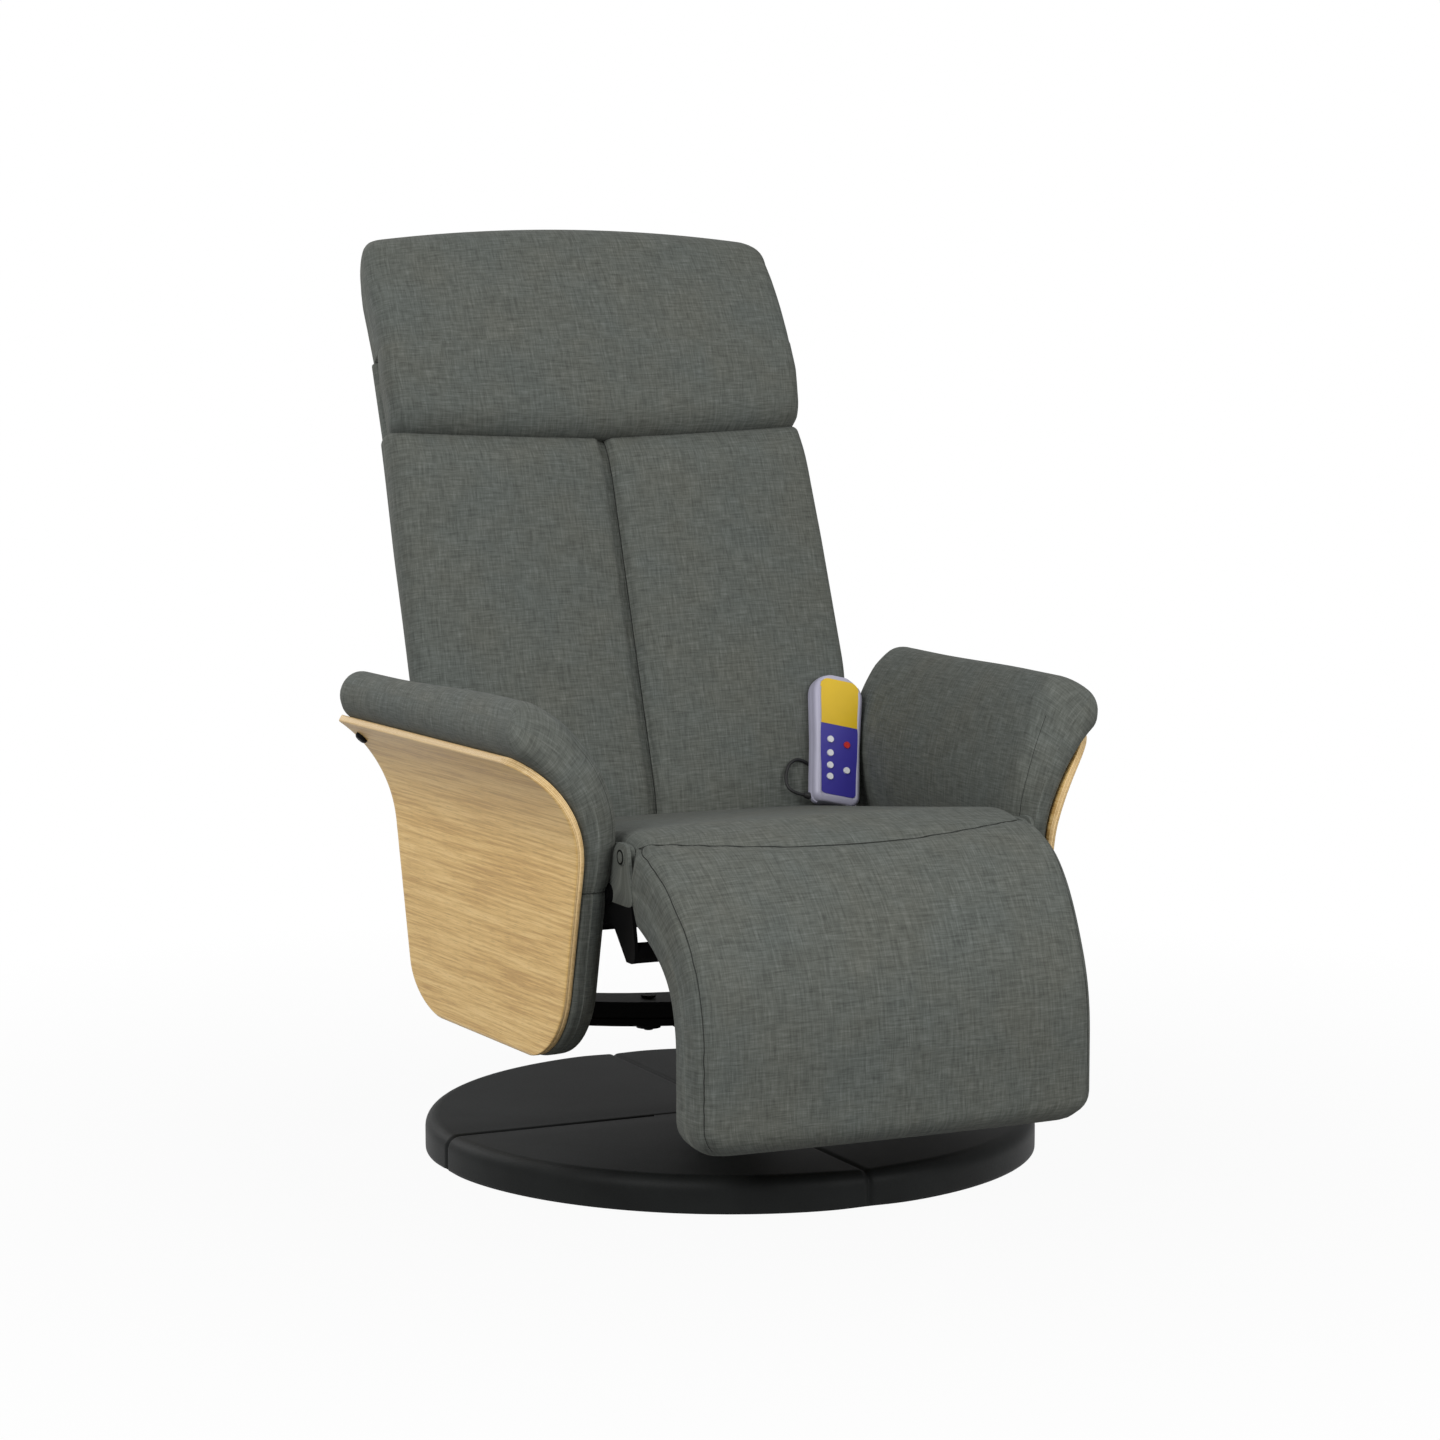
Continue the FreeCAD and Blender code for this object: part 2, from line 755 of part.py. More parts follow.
def make_arms():
    tip_out = flare_point(s.arm_flare_radius)
    tip_in = flare_point(s.arm_flare_radius + s.arm_panel_thickness)
    strip = [
        (s.arm_face_x, s.arm_bottom_z), (s.arm_face_x, s.arm_bend_z), tip_out,
        tip_in, (WOOD_IN, s.arm_bend_z), (WOOD_IN, s.arm_bottom_z),
    ]
    bends = {1: (s.arm_flare_radius, -1), 3: (s.arm_flare_radius + s.arm_panel_thickness, 1)}
    length = (s.arm_rear_y - s.arm_front_y) * 2
    bent = plate("XZ", strip, length, arcs=bends, frame=ARM, symmetric=True)
    shield = arm_outline(ZERO, ARM_TOP + s.arm_panel_thickness, s.arm_front_corner)
    socket = rod(
        s.flare_shank_radius + s.hole_clearance, s.insert_depth + s.pad_gap,
        (0, 0, -s.insert_depth - s.pad_gap), Z_AXIS, flare_bolt_frame())
    pair(cut(cut(common(bent, shield), arm_drills(s.hole_clearance)), socket), "arm_panel")

    skin = s.arm_flare_radius + s.arm_panel_thickness + s.pad_gap
    low = flare_point(skin)
    high = flare_point(skin + s.pad_roll)
    form = [
        (PAD_OUT, s.arm_bottom_z), (PAD_OUT, s.arm_bend_z), low, high,
        (PAD_WAIST_X, s.arm_bend_z), (PAD_FOOT_X, s.arm_bottom_z),
    ]
    roll_share = 0.51
    bows = {1: (skin, -1), 2: (s.pad_roll * roll_share, 1), 3: (s.pad_inner_radius, 1)}
    stuffed = plate("XZ", form, length, arcs=bows, frame=ARM, symmetric=True)
    roll_top = high[1] + s.pad_roll / 2
    soft = common(stuffed, arm_outline(s.pad_front_lip, roll_top, s.pad_front_corner))
    doc.recompute()
    rounded = doc.addObject("Part::Feature", "rounded_pad")
    rounded.Shape = soft.Shape.makeFillet(float(s.pad_edge_radius), pad_rims(soft.Shape, float(skin)))
    pair(cut(rounded, arm_drills(s.hole_clearance)), "arm_pad")


def flare_bolt_frame():
    """Under the flare near the rear tip, pointing away from the panel."""
    turn = float(s.arm_flare_angle) * FLARE_BOLT_SHARE
    lean = Rotation(Y_AXIS, 90 + turn)
    hinge = point(FLARE_X, s.arm_rear_y - s.flare_bolt_radius * FLARE_BOLT_INSET_SHARE, s.arm_bend_z)
    return ARM * Placement(hinge - lean.multVec(Z_AXIS) * float(s.arm_flare_radius), lean)


def make_flare_bolts():
    dome = turned([
        (ZERO, s.pad_gap), (s.flare_bolt_radius, s.pad_gap),
        (s.flare_bolt_radius, s.flare_bolt_height), (ZERO, s.flare_bolt_height),
    ], [(s.flare_bolt_height * DOME_SHARE, 2)], frame=flare_bolt_frame())
    shank = rod(
        s.flare_shank_radius, s.insert_depth + s.pad_gap, (0, 0, -s.insert_depth), Z_AXIS, flare_bolt_frame())
    bolt = fuse(dome, shank)
    piece(group([bolt, mirrored(bolt)]), "flare_bolts")


def make_arm_fittings():
    """End plates of the crossbar, their bolts, and the spacers that carry the seat rails."""
    end_x = END_PLATE_REACH
    half = s.end_plate_width / 2
    low = END_BOLT_Z - s.end_plate_height / 2
    high = END_BOLT_Z + s.end_plate_height / 2
    corners = [(-half, low), (half, low), (half, high), (-half, high)]
    places = arm_bolt_places()
    holes = [(y, z, s.bolt_radius + s.hole_clearance) for y, z in places[:2]]
    ends = plate("YZ", corners, s.end_plate_thickness, [(s.nut_radius, [0, 1, 2, 3])], holes)
    ends.Placement = ARM * Placement(point(end_x, 0, 0), Rotation())
    pair(ends, "crossbar_end_plate")
    bolts = []
    for y, z in places[:2]:
        shank = WOOD_IN + s.insert_depth - end_x
        bolts.append(fuse(
            rod(s.bolt_radius, shank, (end_x, y, z), X_AXIS, ARM),
            rod(s.bolt_head_radius, s.bolt_head_height, (end_x - s.bolt_head_height, y, z), X_AXIS, ARM),
        ))
    bolts = group(bolts)
    piece(group([bolts, mirrored(bolts)]), "crossbar_end_bolts")
    spacers = []
    rail_out = s.rail_x + s.rail_thickness
    for y, z in places[2:]:
        lean = sine(s.arm_splay) * (y - ARM_SHIFT)
        start = rail_out - lean + s.spacer_radius * sine(s.arm_splay) + s.pad_gap
        spacers.append(rod(s.spacer_radius, WOOD_IN - start, (start, y, z), X_AXIS, ARM))
    spacers = group(spacers)
    piece(group([spacers, mirrored(spacers)]), "arm_spacers")


# Seat frame

LOBE_TIP_SHARE = 1.0
LOBE_ROOT_SHARE = 1.9
NEARLY_SHARE = 0.9
CORD_EXIT = (CORD_EXIT_Y, s.cord_exit_z)

def make_rails():
    rail_low = RAIL_Z - s.rail_depth / 2
    rail_high = RAIL_Z + s.rail_depth / 2
    ear = s.ear_radius
    nose = s.foot_pivot_y
    tail = BACK_PIVOT_Y
    lobe = s.spacer_front_y
    lobe_low = s.spacer_front_z - s.lobe_half_width * LOBE_TIP_SHARE
    corners = [
        (tail + ear, rail_low), (tail + ear, s.back_pivot_z + ear), (tail - s.rail_heel_run, rail_high),
        (nose + s.rail_nose_run, rail_high), (nose + ear, s.foot_pivot_z + ear),
        (nose - ear, s.foot_pivot_z + ear), (nose - ear, s.foot_pivot_z - ear),
        (nose + s.rail_chin_run, rail_low), (lobe - s.lobe_half_width * LOBE_ROOT_SHARE, rail_low),
        (lobe - s.lobe_half_width, lobe_low), (lobe + s.lobe_half_width, lobe_low),
        (lobe + s.lobe_half_width * LOBE_ROOT_SHARE, rail_low),
    ]
    holes = [
        (nose, s.foot_pivot_z, s.pivot_radius + s.running_clearance),
        (tail, s.back_pivot_z, s.pivot_radius + s.running_clearance),
    ]
    rounds = [
        (ear * NEARLY_SHARE, [0, 1, 4, 5, 6]), (s.lobe_half_width * NEARLY_SHARE, [9, 10]),
        (s.lobe_half_width, [8, 11]),
    ]
    rail = plate("YZ", corners, s.rail_thickness, rounds, holes)
    rail.Placement = Placement(point(s.rail_x, 0, 0), Rotation())
    hole = rod(s.grommet_radius + s.hole_clearance, s.rail_thickness, (s.rail_x, *CORD_EXIT), X_AXIS)
    piece(cut(rail, hole), "right_seat_rail")
    rail_out = s.rail_x + s.rail_thickness
    sleeve = rod(s.grommet_radius, s.rail_thickness + s.grommet_lip, (s.rail_x, *CORD_EXIT), X_AXIS)
    lip = rod(s.grommet_flange, s.grommet_lip, (rail_out, *CORD_EXIT), X_AXIS)
    bore = rod(
        s.cord_radius + s.hole_clearance, s.rail_thickness + s.grommet_lip, (s.rail_x, *CORD_EXIT), X_AXIS)
    piece(cut(fuse(sleeve, lip), bore), "cord_grommet")
    piece(mirrored(rail), "left_seat_rail")


SEAT_BOARD_TOP = -s.seat_cushion_thickness - s.cushion_gap
SEAT_BOARD_LOW = SEAT_BOARD_TOP - s.seat_board_thickness


def make_seat_frame():
    tube_z = SEAT_BOARD_LOW - s.tube_radius - s.pad_gap
    rear_run = s.seat_length - s.tube_rear_inset
    for run, name in ((s.tube_front_run, "front_cross_tube"), (rear_run, "rear_cross_tube")):
        foot = (-s.rail_x, run, tube_z)
        solid = rod(s.tube_radius, s.rail_x * 2, foot, X_AXIS, SEAT)
        hollow = rod(s.tube_radius - s.channel_wall / 2, s.rail_x * 2, foot, X_AXIS, SEAT)
        piece(cut(solid, hollow), name)
    half = s.seat_half_width
    front = s.seat_board_inset
    rear = s.seat_length - s.seat_board_inset
    corners = [(-half, front), (half, front), (half, rear), (-half, rear)]
    board = plate("XY", corners, s.seat_board_thickness, [(s.nut_radius, [0, 1, 2, 3])])
    board.Placement = SEAT * Placement(point(0, 0, SEAT_BOARD_LOW), Rotation())
    piece(board, "seat_board")
    wide = s.control_box_width
    low = SEAT_BOARD_LOW - s.control_box_height
    box_corner = (wide / -2, s.control_box_run, low)
    piece(block(wide, s.control_box_length, s.control_box_height, box_corner, SEAT), "control_box")
    rear_face = s.control_box_run + s.control_box_length
    inlet_z = low + s.control_box_height / 2
    piece(rod(s.inlet_radius, s.inlet_length, (0, rear_face, inlet_z), Y_AXIS, SEAT), "power_inlet")


def motors_on(places, base, along, frame, extra):
    """Round vibration motors standing on a board."""
    found = []
    for x, run in places:
        foot = (x, run, base) if along == Z_AXIS else (x, base, run)
        found.append(rod(s.motor_radius + extra, s.motor_height + extra, foot, along, frame))
    return group(found)


# Cushions

SEAT_STATION_SHARES = (
    (0.024, 0.78, 0.975), (0.05, 0.94, 0.995), (0.25, 1.0, 1.0), (0.55, 1.0, 1.0),
    (0.82, 0.96, 1.0), (0.935, 0.86, 0.99), (0.985, 0.64, 0.965),
)


def boxed_section(half, low, side, top, bulge, place):
    """A flat bottom, two bulging sides and a crowned top; place maps across and up to space."""
    corner = [place(-half, low), place(half, low), place(half - bulge, side), place(bulge - half, side)]
    middle = (low + side) / 2
    return Part.Wire([
        straight(corner[0], corner[1]),
        curved(corner[1], place(half + bulge, middle), corner[2]),
        curved(corner[2], place(0, top), corner[3]),
        curved(corner[3], place(-half - bulge, middle), corner[0]),
    ])


def make_seat_cushion():
    low = -float(s.seat_cushion_thickness)
    wires = []
    for run_share, fill_share, width_share in SEAT_STATION_SHARES:
        run = float(s.seat_length) * run_share
        side = low * (1 - fill_share)
        top = side + float(s.seat_crown) * fill_share
        half = float(s.seat_half_width) * width_share
        wires.append(boxed_section(
            half, low, side, top, float(s.side_bulge), lambda x, z, y=run: Vector(x, y, z)))
    places = [(s.motor_x, s.seat_motor_run), (-s.motor_x, s.seat_motor_run)]
    cushion = loft(wires, SEAT)
    pockets = motors_on(places, SEAT_BOARD_TOP, Z_AXIS, SEAT, s.motor_clearance)
    piece(cut(cushion, pockets), "seat_cushion")
    piece(motors_on(places, SEAT_BOARD_TOP, Z_AXIS, SEAT, ZERO), "seat_motors")


BACK_STATION_SHARES = (
    (0.004, 0.945, 0.15), (0.035, 0.955, 0.75), (0.2, 0.985, 1.0), (0.38, 1.0, 1.0),
    (0.62, 0.985, 1.0), (0.88, 0.965, 0.95), (0.975, 0.955, 0.6), (0.998, 0.945, 0.0),
)


def back_section(half, run, fill, heel):
    """Two crowned panels that meet in the middle channel, with round sides and a flat rear."""
    depth = float(s.back_cushion_depth)
    edge = float(s.back_edge_set)
    slack = (1 - fill) * edge
    bulge = float(s.side_bulge)
    side = half - bulge * 2
    taper = float(s.back_top_taper) + float(s.back_foot_taper) * (1 - run / float(s.back_length))
    crest = slack - float(s.back_crown) * fill

    def place(x, y):
        return Vector(x, y, run + heel * max(y, 0) / depth)

    right = place(side, edge + slack)
    left = place(-side, edge + slack)
    channel = place(0, slack)
    rear_right = place(half - bulge - taper, depth)
    rear_left = place(bulge + taper - half, depth)
    waist = (depth + edge) / 2
    return Part.Wire([
        straight(rear_left, rear_right),
        curved(rear_right, place(half - taper / 2, waist), right),
        curved(right, place(half / 2, crest), channel),
        curved(channel, place(-half / 2, crest), left),
        curved(left, place(taper / 2 - half, waist), rear_left),
    ])


def make_back_cushion():
    wires = []
    for number, (run_share, width_share, fill_share) in enumerate(BACK_STATION_SHARES):
        run = float(s.back_length) * run_share
        heel = float(s.back_heel_rise) if number == 0 else 0.0
        if number == 1:
            heel = float(s.back_heel_rise) * HEEL_SHARE
        wires.append(back_section(float(s.back_half_width) * width_share, run, fill_share, heel))
    cushion = loft(wires, BACK)
    places = [(s.motor_x, s.back_motor_run), (-s.motor_x, s.back_motor_run)]
    base = s.back_cushion_depth + s.cushion_gap
    forward = Vector(0, -1, 0)
    pockets = motors_on(places, base, forward, BACK, s.motor_clearance)
    piece(cut(cushion, pockets), "back_cushion")
    piece(motors_on(places, base, forward, BACK, ZERO), "back_motors")


HEEL_SHARE = 0.75
# run along the headrest, width, front face forward of the crown, rear face, each as a share
HEAD_STATION_SHARES = (
    (0.0, 0.955, -1.0, 1.0), (0.035, 0.985, 0.35, 1.0), (0.12, 0.995, 1.0, 1.0), (0.33, 1.0, 1.0, 1.0),
    (0.62, 0.995, 0.35, 1.0), (0.85, 0.985, -0.9, 0.99), (0.94, 0.975, -1.9, 0.94),
    (0.985, 0.94, -2.9, 0.84), (1.0, 0.89, -3.6, 0.76),
)


def head_section(half, run, front, rear):
    """A pad section with a crowned front, round sides and a slightly crowned rear."""
    bulge = float(s.side_bulge)
    edge = front + float(s.back_edge_set)
    waist = (edge + rear) / 2
    right = Vector(half - bulge * 2, edge, run)
    left = Vector(bulge * 2 - half, edge, run)
    rear_half = half - float(s.head_rear_taper)
    middle_half = half - float(s.head_rear_taper) / 2
    rear_right = Vector(rear_half, rear - bulge, run)
    rear_left = Vector(-rear_half, rear - bulge, run)
    return Part.Wire([
        curved(rear_left, Vector(0, rear, run), rear_right),
        curved(rear_right, Vector(middle_half, waist, run), right),
        curved(right, Vector(0, front, run), left),
        curved(left, Vector(-middle_half, waist, run), rear_left),
    ])


def board_pocket(extra):
    """The space that the back board takes inside the cover and the headrest."""
    half = s.back_board_half_width + extra
    return block(
        half * 2, s.back_board_thickness + extra * 2, BOARD_LENGTH + extra * 2,
        (-half, s.back_cushion_depth + s.cushion_gap - extra, s.back_board_start - extra), BACK)


def make_headrest():
    start = float(HEAD_START)
    wires = []
    for run_share, width_share, front_share, rear_share in HEAD_STATION_SHARES:
        wires.append(head_section(
            float(s.head_half_width) * width_share, start + float(s.head_length) * run_share,
            -float(s.back_crown) * front_share, float(s.head_rear) * rear_share))
    whole = loft(wires, BACK)
    wide = s.head_half_width * 2
    low = s.back_length
    behind = block(
        wide * 2, s.head_rear, HEAD_REAR_START - low,
        (-wide, s.back_cushion_depth + s.cushion_gap, low), BACK)
    places = [(s.motor_x, HEAD_MOTOR_RUN), (-s.motor_x, HEAD_MOTOR_RUN)]
    base = s.back_cushion_depth + s.cushion_gap
    forward = Vector(0, -1, 0)
    pockets = motors_on(places, base, forward, BACK, s.motor_clearance)
    piece(cut(cut(cut(whole, behind), board_pocket(s.cushion_gap)), pockets), "headrest_cushion")
    piece(motors_on(places, base, forward, BACK, ZERO), "headrest_motors")


COVER_STATION_SHARES = (
    (0.0, 0.865, 0.45), (0.03, 0.87, 0.8), (0.1, 0.88, 0.96), (0.3, 0.888, 1.0), (0.5, 0.888, 1.0),
    (0.7, 0.89, 1.0), (0.9, 0.9, 1.0), (0.98, 0.905, 0.98), (1.0, 0.9, 0.93),
)


def make_back_board_and_cover():
    low = s.back_cushion_depth + s.cushion_gap
    half = s.back_board_half_width
    top = s.back_board_start + BOARD_LENGTH
    corners = [(-half, s.back_board_start), (half, s.back_board_start), (half, top), (-half, top)]
    board = plate("XZ", corners, s.back_board_thickness, [(s.post_boss_radius, [0, 1, 2, 3])])
    board.Placement = BACK * Placement(point(0, low + s.back_board_thickness, 0), Rotation())
    piece(board, "back_board")
    wires = []
    for run_share, width_share, depth_share in COVER_STATION_SHARES:
        run = float(s.back_board_start) + float(COVER_LENGTH - s.back_board_start) * run_share
        run = run + float(s.back_heel_rise) * (1 - run_share) / 2
        half_here = float(s.back_half_width) * width_share
        depth = float(s.back_cover_depth) * depth_share
        front = float(low + s.cushion_gap)
        wires.append(boxed_section(
            half_here, front, front + depth, front + depth + float(s.side_bulge), float(s.side_bulge),
            lambda x, y, z=run: Vector(x, y, z)))
    shell = cut(loft(wires, BACK), board_pocket(s.cushion_gap))
    slots = []
    for side in (1, -1):
        middle = (s.bracket_x + s.bracket_thickness - s.bracket_strap_width / 2) * side
        wide = s.bracket_strap_width + s.motor_clearance * 2
        slots.append(block(
            wide, s.back_cover_depth * 2, s.bracket_strap_length + s.back_heel_rise * 2 + s.motor_clearance,
            (middle - wide / 2, low, s.back_board_start - s.back_heel_rise), BACK))
    piece(cut(shell, group(slots)), "back_rear_cover")


# Brackets, cranks and links of the recline mechanism

PIVOT_IN_BACK = BACK.inverse().multVec(point(0, BACK_PIVOT_Y, s.back_pivot_z))
BACK_CRANK_Y = BACK_PIVOT_Y + s.back_crank_radius * sine(s.back_crank_angle)
BACK_CRANK_Z = s.back_pivot_z - s.back_crank_radius * cosine(s.back_crank_angle)
FOOT_CRANK_Y = s.foot_pivot_y + s.foot_crank_radius * sine(s.foot_crank_angle)
FOOT_CRANK_Z = s.foot_pivot_z - s.foot_crank_radius * cosine(s.foot_crank_angle)
EAR_X = s.rail_x + s.rail_thickness + s.foot_ear_gap
LINK_X = EAR_X + s.rail_thickness + s.link_gap


def in_back(y, z):
    """Side-view place of a point given in the back's own frame."""
    spot = BACK.multVec(point(0, y, z))
    return spot.y, spot.z


def make_back_brackets():
    ear = s.ear_radius
    rear = s.back_cushion_depth + s.cushion_gap + s.back_board_thickness + s.pad_gap
    strap_low = s.back_board_start + s.nut_radius
    strap_high = strap_low + s.bracket_strap_length
    web = rear + s.bracket_strap_width / 2
    corners = [
        in_back(rear, strap_high), in_back(rear, s.nut_radius), (BACK_PIVOT_Y - ear, s.back_pivot_z + ear),
        (BACK_CRANK_Y - ear, BACK_CRANK_Z - ear), (BACK_CRANK_Y + ear, BACK_CRANK_Z - ear),
        (BACK_PIVOT_Y + s.rail_heel_run, s.back_pivot_z), in_back(web, strap_low), in_back(web, strap_high),
    ]
    holes = [(BACK_PIVOT_Y, s.back_pivot_z, s.pivot_radius + s.running_clearance)]
    side = plate("YZ", corners, s.bracket_thickness, [(ear * NEARLY_SHARE, [2, 3, 4, 7])], holes)
    side.Placement = Placement(point(s.bracket_x, 0, 0), Rotation())
    strap_corner = (s.bracket_x + s.bracket_thickness - s.bracket_strap_width, rear, strap_low)
    strap = block(s.bracket_strap_width, s.bracket_thickness, s.bracket_strap_length, strap_corner, BACK)
    pin_end = LINK_X + s.link_thickness + s.link_gap
    pin = rod(s.pivot_radius, pin_end - s.bracket_x, (s.bracket_x, BACK_CRANK_Y, BACK_CRANK_Z), X_AXIS)
    head = rod(s.pivot_head_radius, s.pivot_head_height, (pin_end, BACK_CRANK_Y, BACK_CRANK_Z), X_AXIS)
    pair(fuse(side, strap, pin, head), "back_bracket")


def make_pivots():
    """Shouldered pivot bolts held in the rails, with heads on both ends."""
    for label, y, z, low, high in (
        ("back_pivot_bolts", BACK_PIVOT_Y, s.back_pivot_z, s.bracket_x, s.rail_x + s.rail_thickness),
        ("footrest_pivot_bolts", s.foot_pivot_y, s.foot_pivot_z, s.rail_x, EAR_X + s.rail_thickness),
    ):
        start = low - s.pad_gap
        end = high + s.pad_gap
        bolt = fuse(
            rod(s.pivot_radius, end - start, (start, y, z), X_AXIS),
            rod(s.pivot_head_radius, s.pivot_head_height, (start - s.pivot_head_height, y, z), X_AXIS),
            rod(s.pivot_head_radius, s.pivot_head_height, (end, y, z), X_AXIS),
        )
        piece(group([bolt, mirrored(bolt)]), label)


FOOT_INNER = s.foot_curve_radius - s.foot_thickness
FOOT_BOARD_OUT = FOOT_INNER - s.cushion_gap
FOOT_BOARD_IN = FOOT_BOARD_OUT - s.foot_board_thickness
FOOT_TUBE_REACH = FOOT_BOARD_IN - s.foot_tube_radius - s.pad_gap
TUBE_ANGLE_SHARE = 0.96
FOOT_TUBE_ANGLE = s.foot_board_angle * TUBE_ANGLE_SHARE
FOOT_TUBE_Y = s.foot_curve_y - FOOT_TUBE_REACH * cosine(FOOT_TUBE_ANGLE)
FOOT_TUBE_Z = s.foot_curve_z + FOOT_TUBE_REACH * sine(FOOT_TUBE_ANGLE)


def on_foot_curve(reach, angle):
    return s.foot_curve_y - reach * cosine(angle), s.foot_curve_z + reach * sine(angle)


def make_footrest():
    corners = [
        (s.foot_curve_y - FOOT_BOARD_OUT, s.foot_board_bottom_z),
        (s.foot_curve_y - FOOT_BOARD_OUT, s.foot_curve_z),
        on_foot_curve(FOOT_BOARD_OUT, s.foot_board_angle),
        on_foot_curve(FOOT_BOARD_IN, s.foot_board_angle),
        (s.foot_curve_y - FOOT_BOARD_IN, s.foot_curve_z),
        (s.foot_curve_y - FOOT_BOARD_IN, s.foot_board_bottom_z),
    ]
    bends = {1: (FOOT_BOARD_OUT, -1), 3: (FOOT_BOARD_IN, 1)}
    board = plate("YZ", corners, s.foot_board_half_width * 2, arcs=bends, symmetric=True)
    piece(board, "footrest_board")
    ear = s.ear_radius
    corners = [
        (s.foot_pivot_y - ear, s.foot_pivot_z + ear), (s.foot_pivot_y + ear, s.foot_pivot_z + ear),
        (FOOT_CRANK_Y + ear, FOOT_CRANK_Z + ear), (FOOT_CRANK_Y + ear, FOOT_CRANK_Z - ear),
        (FOOT_TUBE_Y + ear, FOOT_TUBE_Z - ear), (FOOT_TUBE_Y - ear, FOOT_TUBE_Z - ear),
        (FOOT_TUBE_Y - ear, FOOT_TUBE_Z + ear),
    ]
    holes = [(s.foot_pivot_y, s.foot_pivot_z, s.pivot_radius + s.running_clearance)]
    plate_body = plate("YZ", corners, s.rail_thickness, [(ear * NEARLY_SHARE, [0, 1, 2, 3, 5])], holes)
    plate_body.Placement = Placement(point(EAR_X, 0, 0), Rotation())
    pin_end = LINK_X + s.link_thickness + s.link_gap
    pin = rod(s.pivot_radius, pin_end - EAR_X, (EAR_X, FOOT_CRANK_Y, FOOT_CRANK_Z), X_AXIS)
    head = rod(s.pivot_head_radius, s.pivot_head_height, (pin_end, FOOT_CRANK_Y, FOOT_CRANK_Z), X_AXIS)
    pair(fuse(plate_body, pin, head), "footrest_ear")
    foot = (-EAR_X, FOOT_TUBE_Y, FOOT_TUBE_Z)
    solid = rod(s.foot_tube_radius, EAR_X * 2, foot, X_AXIS)
    hollow = rod(s.foot_tube_radius - s.channel_wall / 2, EAR_X * 2, foot, X_AXIS)
    piece(cut(solid, hollow), "footrest_cross_tube")


FOOT_TURN_SHARES = (
    (1.0, 0.72, 0.975), (0.95, 0.93, 0.995), (0.7, 1.0, 1.0), (0.35, 1.0, 1.0), (0.0, 1.0, 1.0))
FOOT_DROP_SHARES = ((0.5, 1.0, 1.0), (0.86, 0.97, 0.998), (0.96, 0.88, 0.985), (1.0, 0.7, 0.96))


def make_footrest_cushion():
    inner = float(FOOT_INNER)
    thick = float(s.foot_thickness)
    crown = float(s.foot_crown)
    bulge = float(s.side_bulge)
    centre_y = float(s.foot_curve_y)
    centre_z = float(s.foot_curve_z)
    drop = centre_z - float(s.foot_bottom_z)
    wires = []
    for turn_share, fill_share, width_share in FOOT_TURN_SHARES:
        turn = math.radians(float(s.foot_top_angle) * turn_share)

        def place(x, reach, turn=turn):
            return Vector(x, centre_y - reach * math.cos(turn), centre_z + reach * math.sin(turn))

        half = float(s.foot_half_width) * width_share
        side = inner + thick * fill_share
        wires.append(boxed_section(half, inner, side, side + crown * fill_share, bulge, place))
    for drop_share, fill_share, width_share in FOOT_DROP_SHARES:

        def place(x, reach, z=centre_z - drop * drop_share):
            return Vector(x, centre_y - reach, z)

        half = float(s.foot_half_width) * width_share
        side = inner + thick * fill_share
        wires.append(boxed_section(half, inner, side, side + crown * fill_share, bulge, place))
    piece(loft(wires), "footrest_cushion")


def make_links():
    """Side links between the footrest cranks and the slotted eyes on the back cranks."""
    half = s.link_width / 2
    slot = s.link_slot_rise
    wide = half + slot
    corners = [
        (FOOT_CRANK_Y - half, FOOT_CRANK_Z + half), (FOOT_CRANK_Y - half, FOOT_CRANK_Z - half),
        (FOOT_CRANK_Y + half, FOOT_CRANK_Z - half), (BACK_CRANK_Y - wide, BACK_CRANK_Z - wide),
        (BACK_CRANK_Y + wide, BACK_CRANK_Z - wide), (BACK_CRANK_Y + wide, BACK_CRANK_Z + wide),
        (BACK_CRANK_Y - wide, BACK_CRANK_Z + wide), (FOOT_CRANK_Y + half, FOOT_CRANK_Z + half),
    ]
    holes = [
        (FOOT_CRANK_Y, FOOT_CRANK_Z, s.pivot_radius + s.running_clearance),
        (BACK_CRANK_Y, BACK_CRANK_Z, s.pivot_radius + slot),
    ]
    rounds = [(half * NEARLY_SHARE, [0, 1]), (wide * NEARLY_SHARE, [4, 5])]
    link = plate("YZ", corners, s.link_thickness, rounds, holes)
    link.Placement = Placement(point(LINK_X, 0, 0), Rotation())
    pair(link, "drive_link")


# Handset

FACE_Z = s.handset_rear_depth + s.handset_front_depth
PANEL_TOP = FACE_Z - s.panel_recess
PANEL_LOW = PANEL_TOP - s.panel_thickness
TAPER = (s.handset_head_width - s.handset_foot_width) / s.handset_length / 2
# across from the middle, and up the keypad, as shares of the keypad's half width and length
BUTTON_SHARES = {
    "power_button": (0.42, 0.74), "intensity_button": (-0.5, 0.78), "head_button": (-0.5, 0.585),
    "back_button": (-0.5, 0.41), "seat_button": (-0.5, 0.25), "mode_button": (0.42, 0.375),
}


def handset_outline(inset, low, high):
    """The tapered outline of the handset, drawn in by an inset, between two heights."""
    low_half = s.handset_foot_width / 2 + TAPER * low - inset
    high_half = s.handset_foot_width / 2 + TAPER * high - inset
    return [(-low_half, low), (low_half, low), (high_half, high), (-high_half, high)]


def handset_plate(inset, low, high, depth, base_z, foot_corner, head_corner, holes=()):
    body = plate(
        "XY", handset_outline(inset, low, high), depth,
        [(foot_corner, [0, 1]), (head_corner, [2, 3])], holes)
    body.Placement = HANDSET * Placement(point(0, 0, base_z), Rotation())
    return body


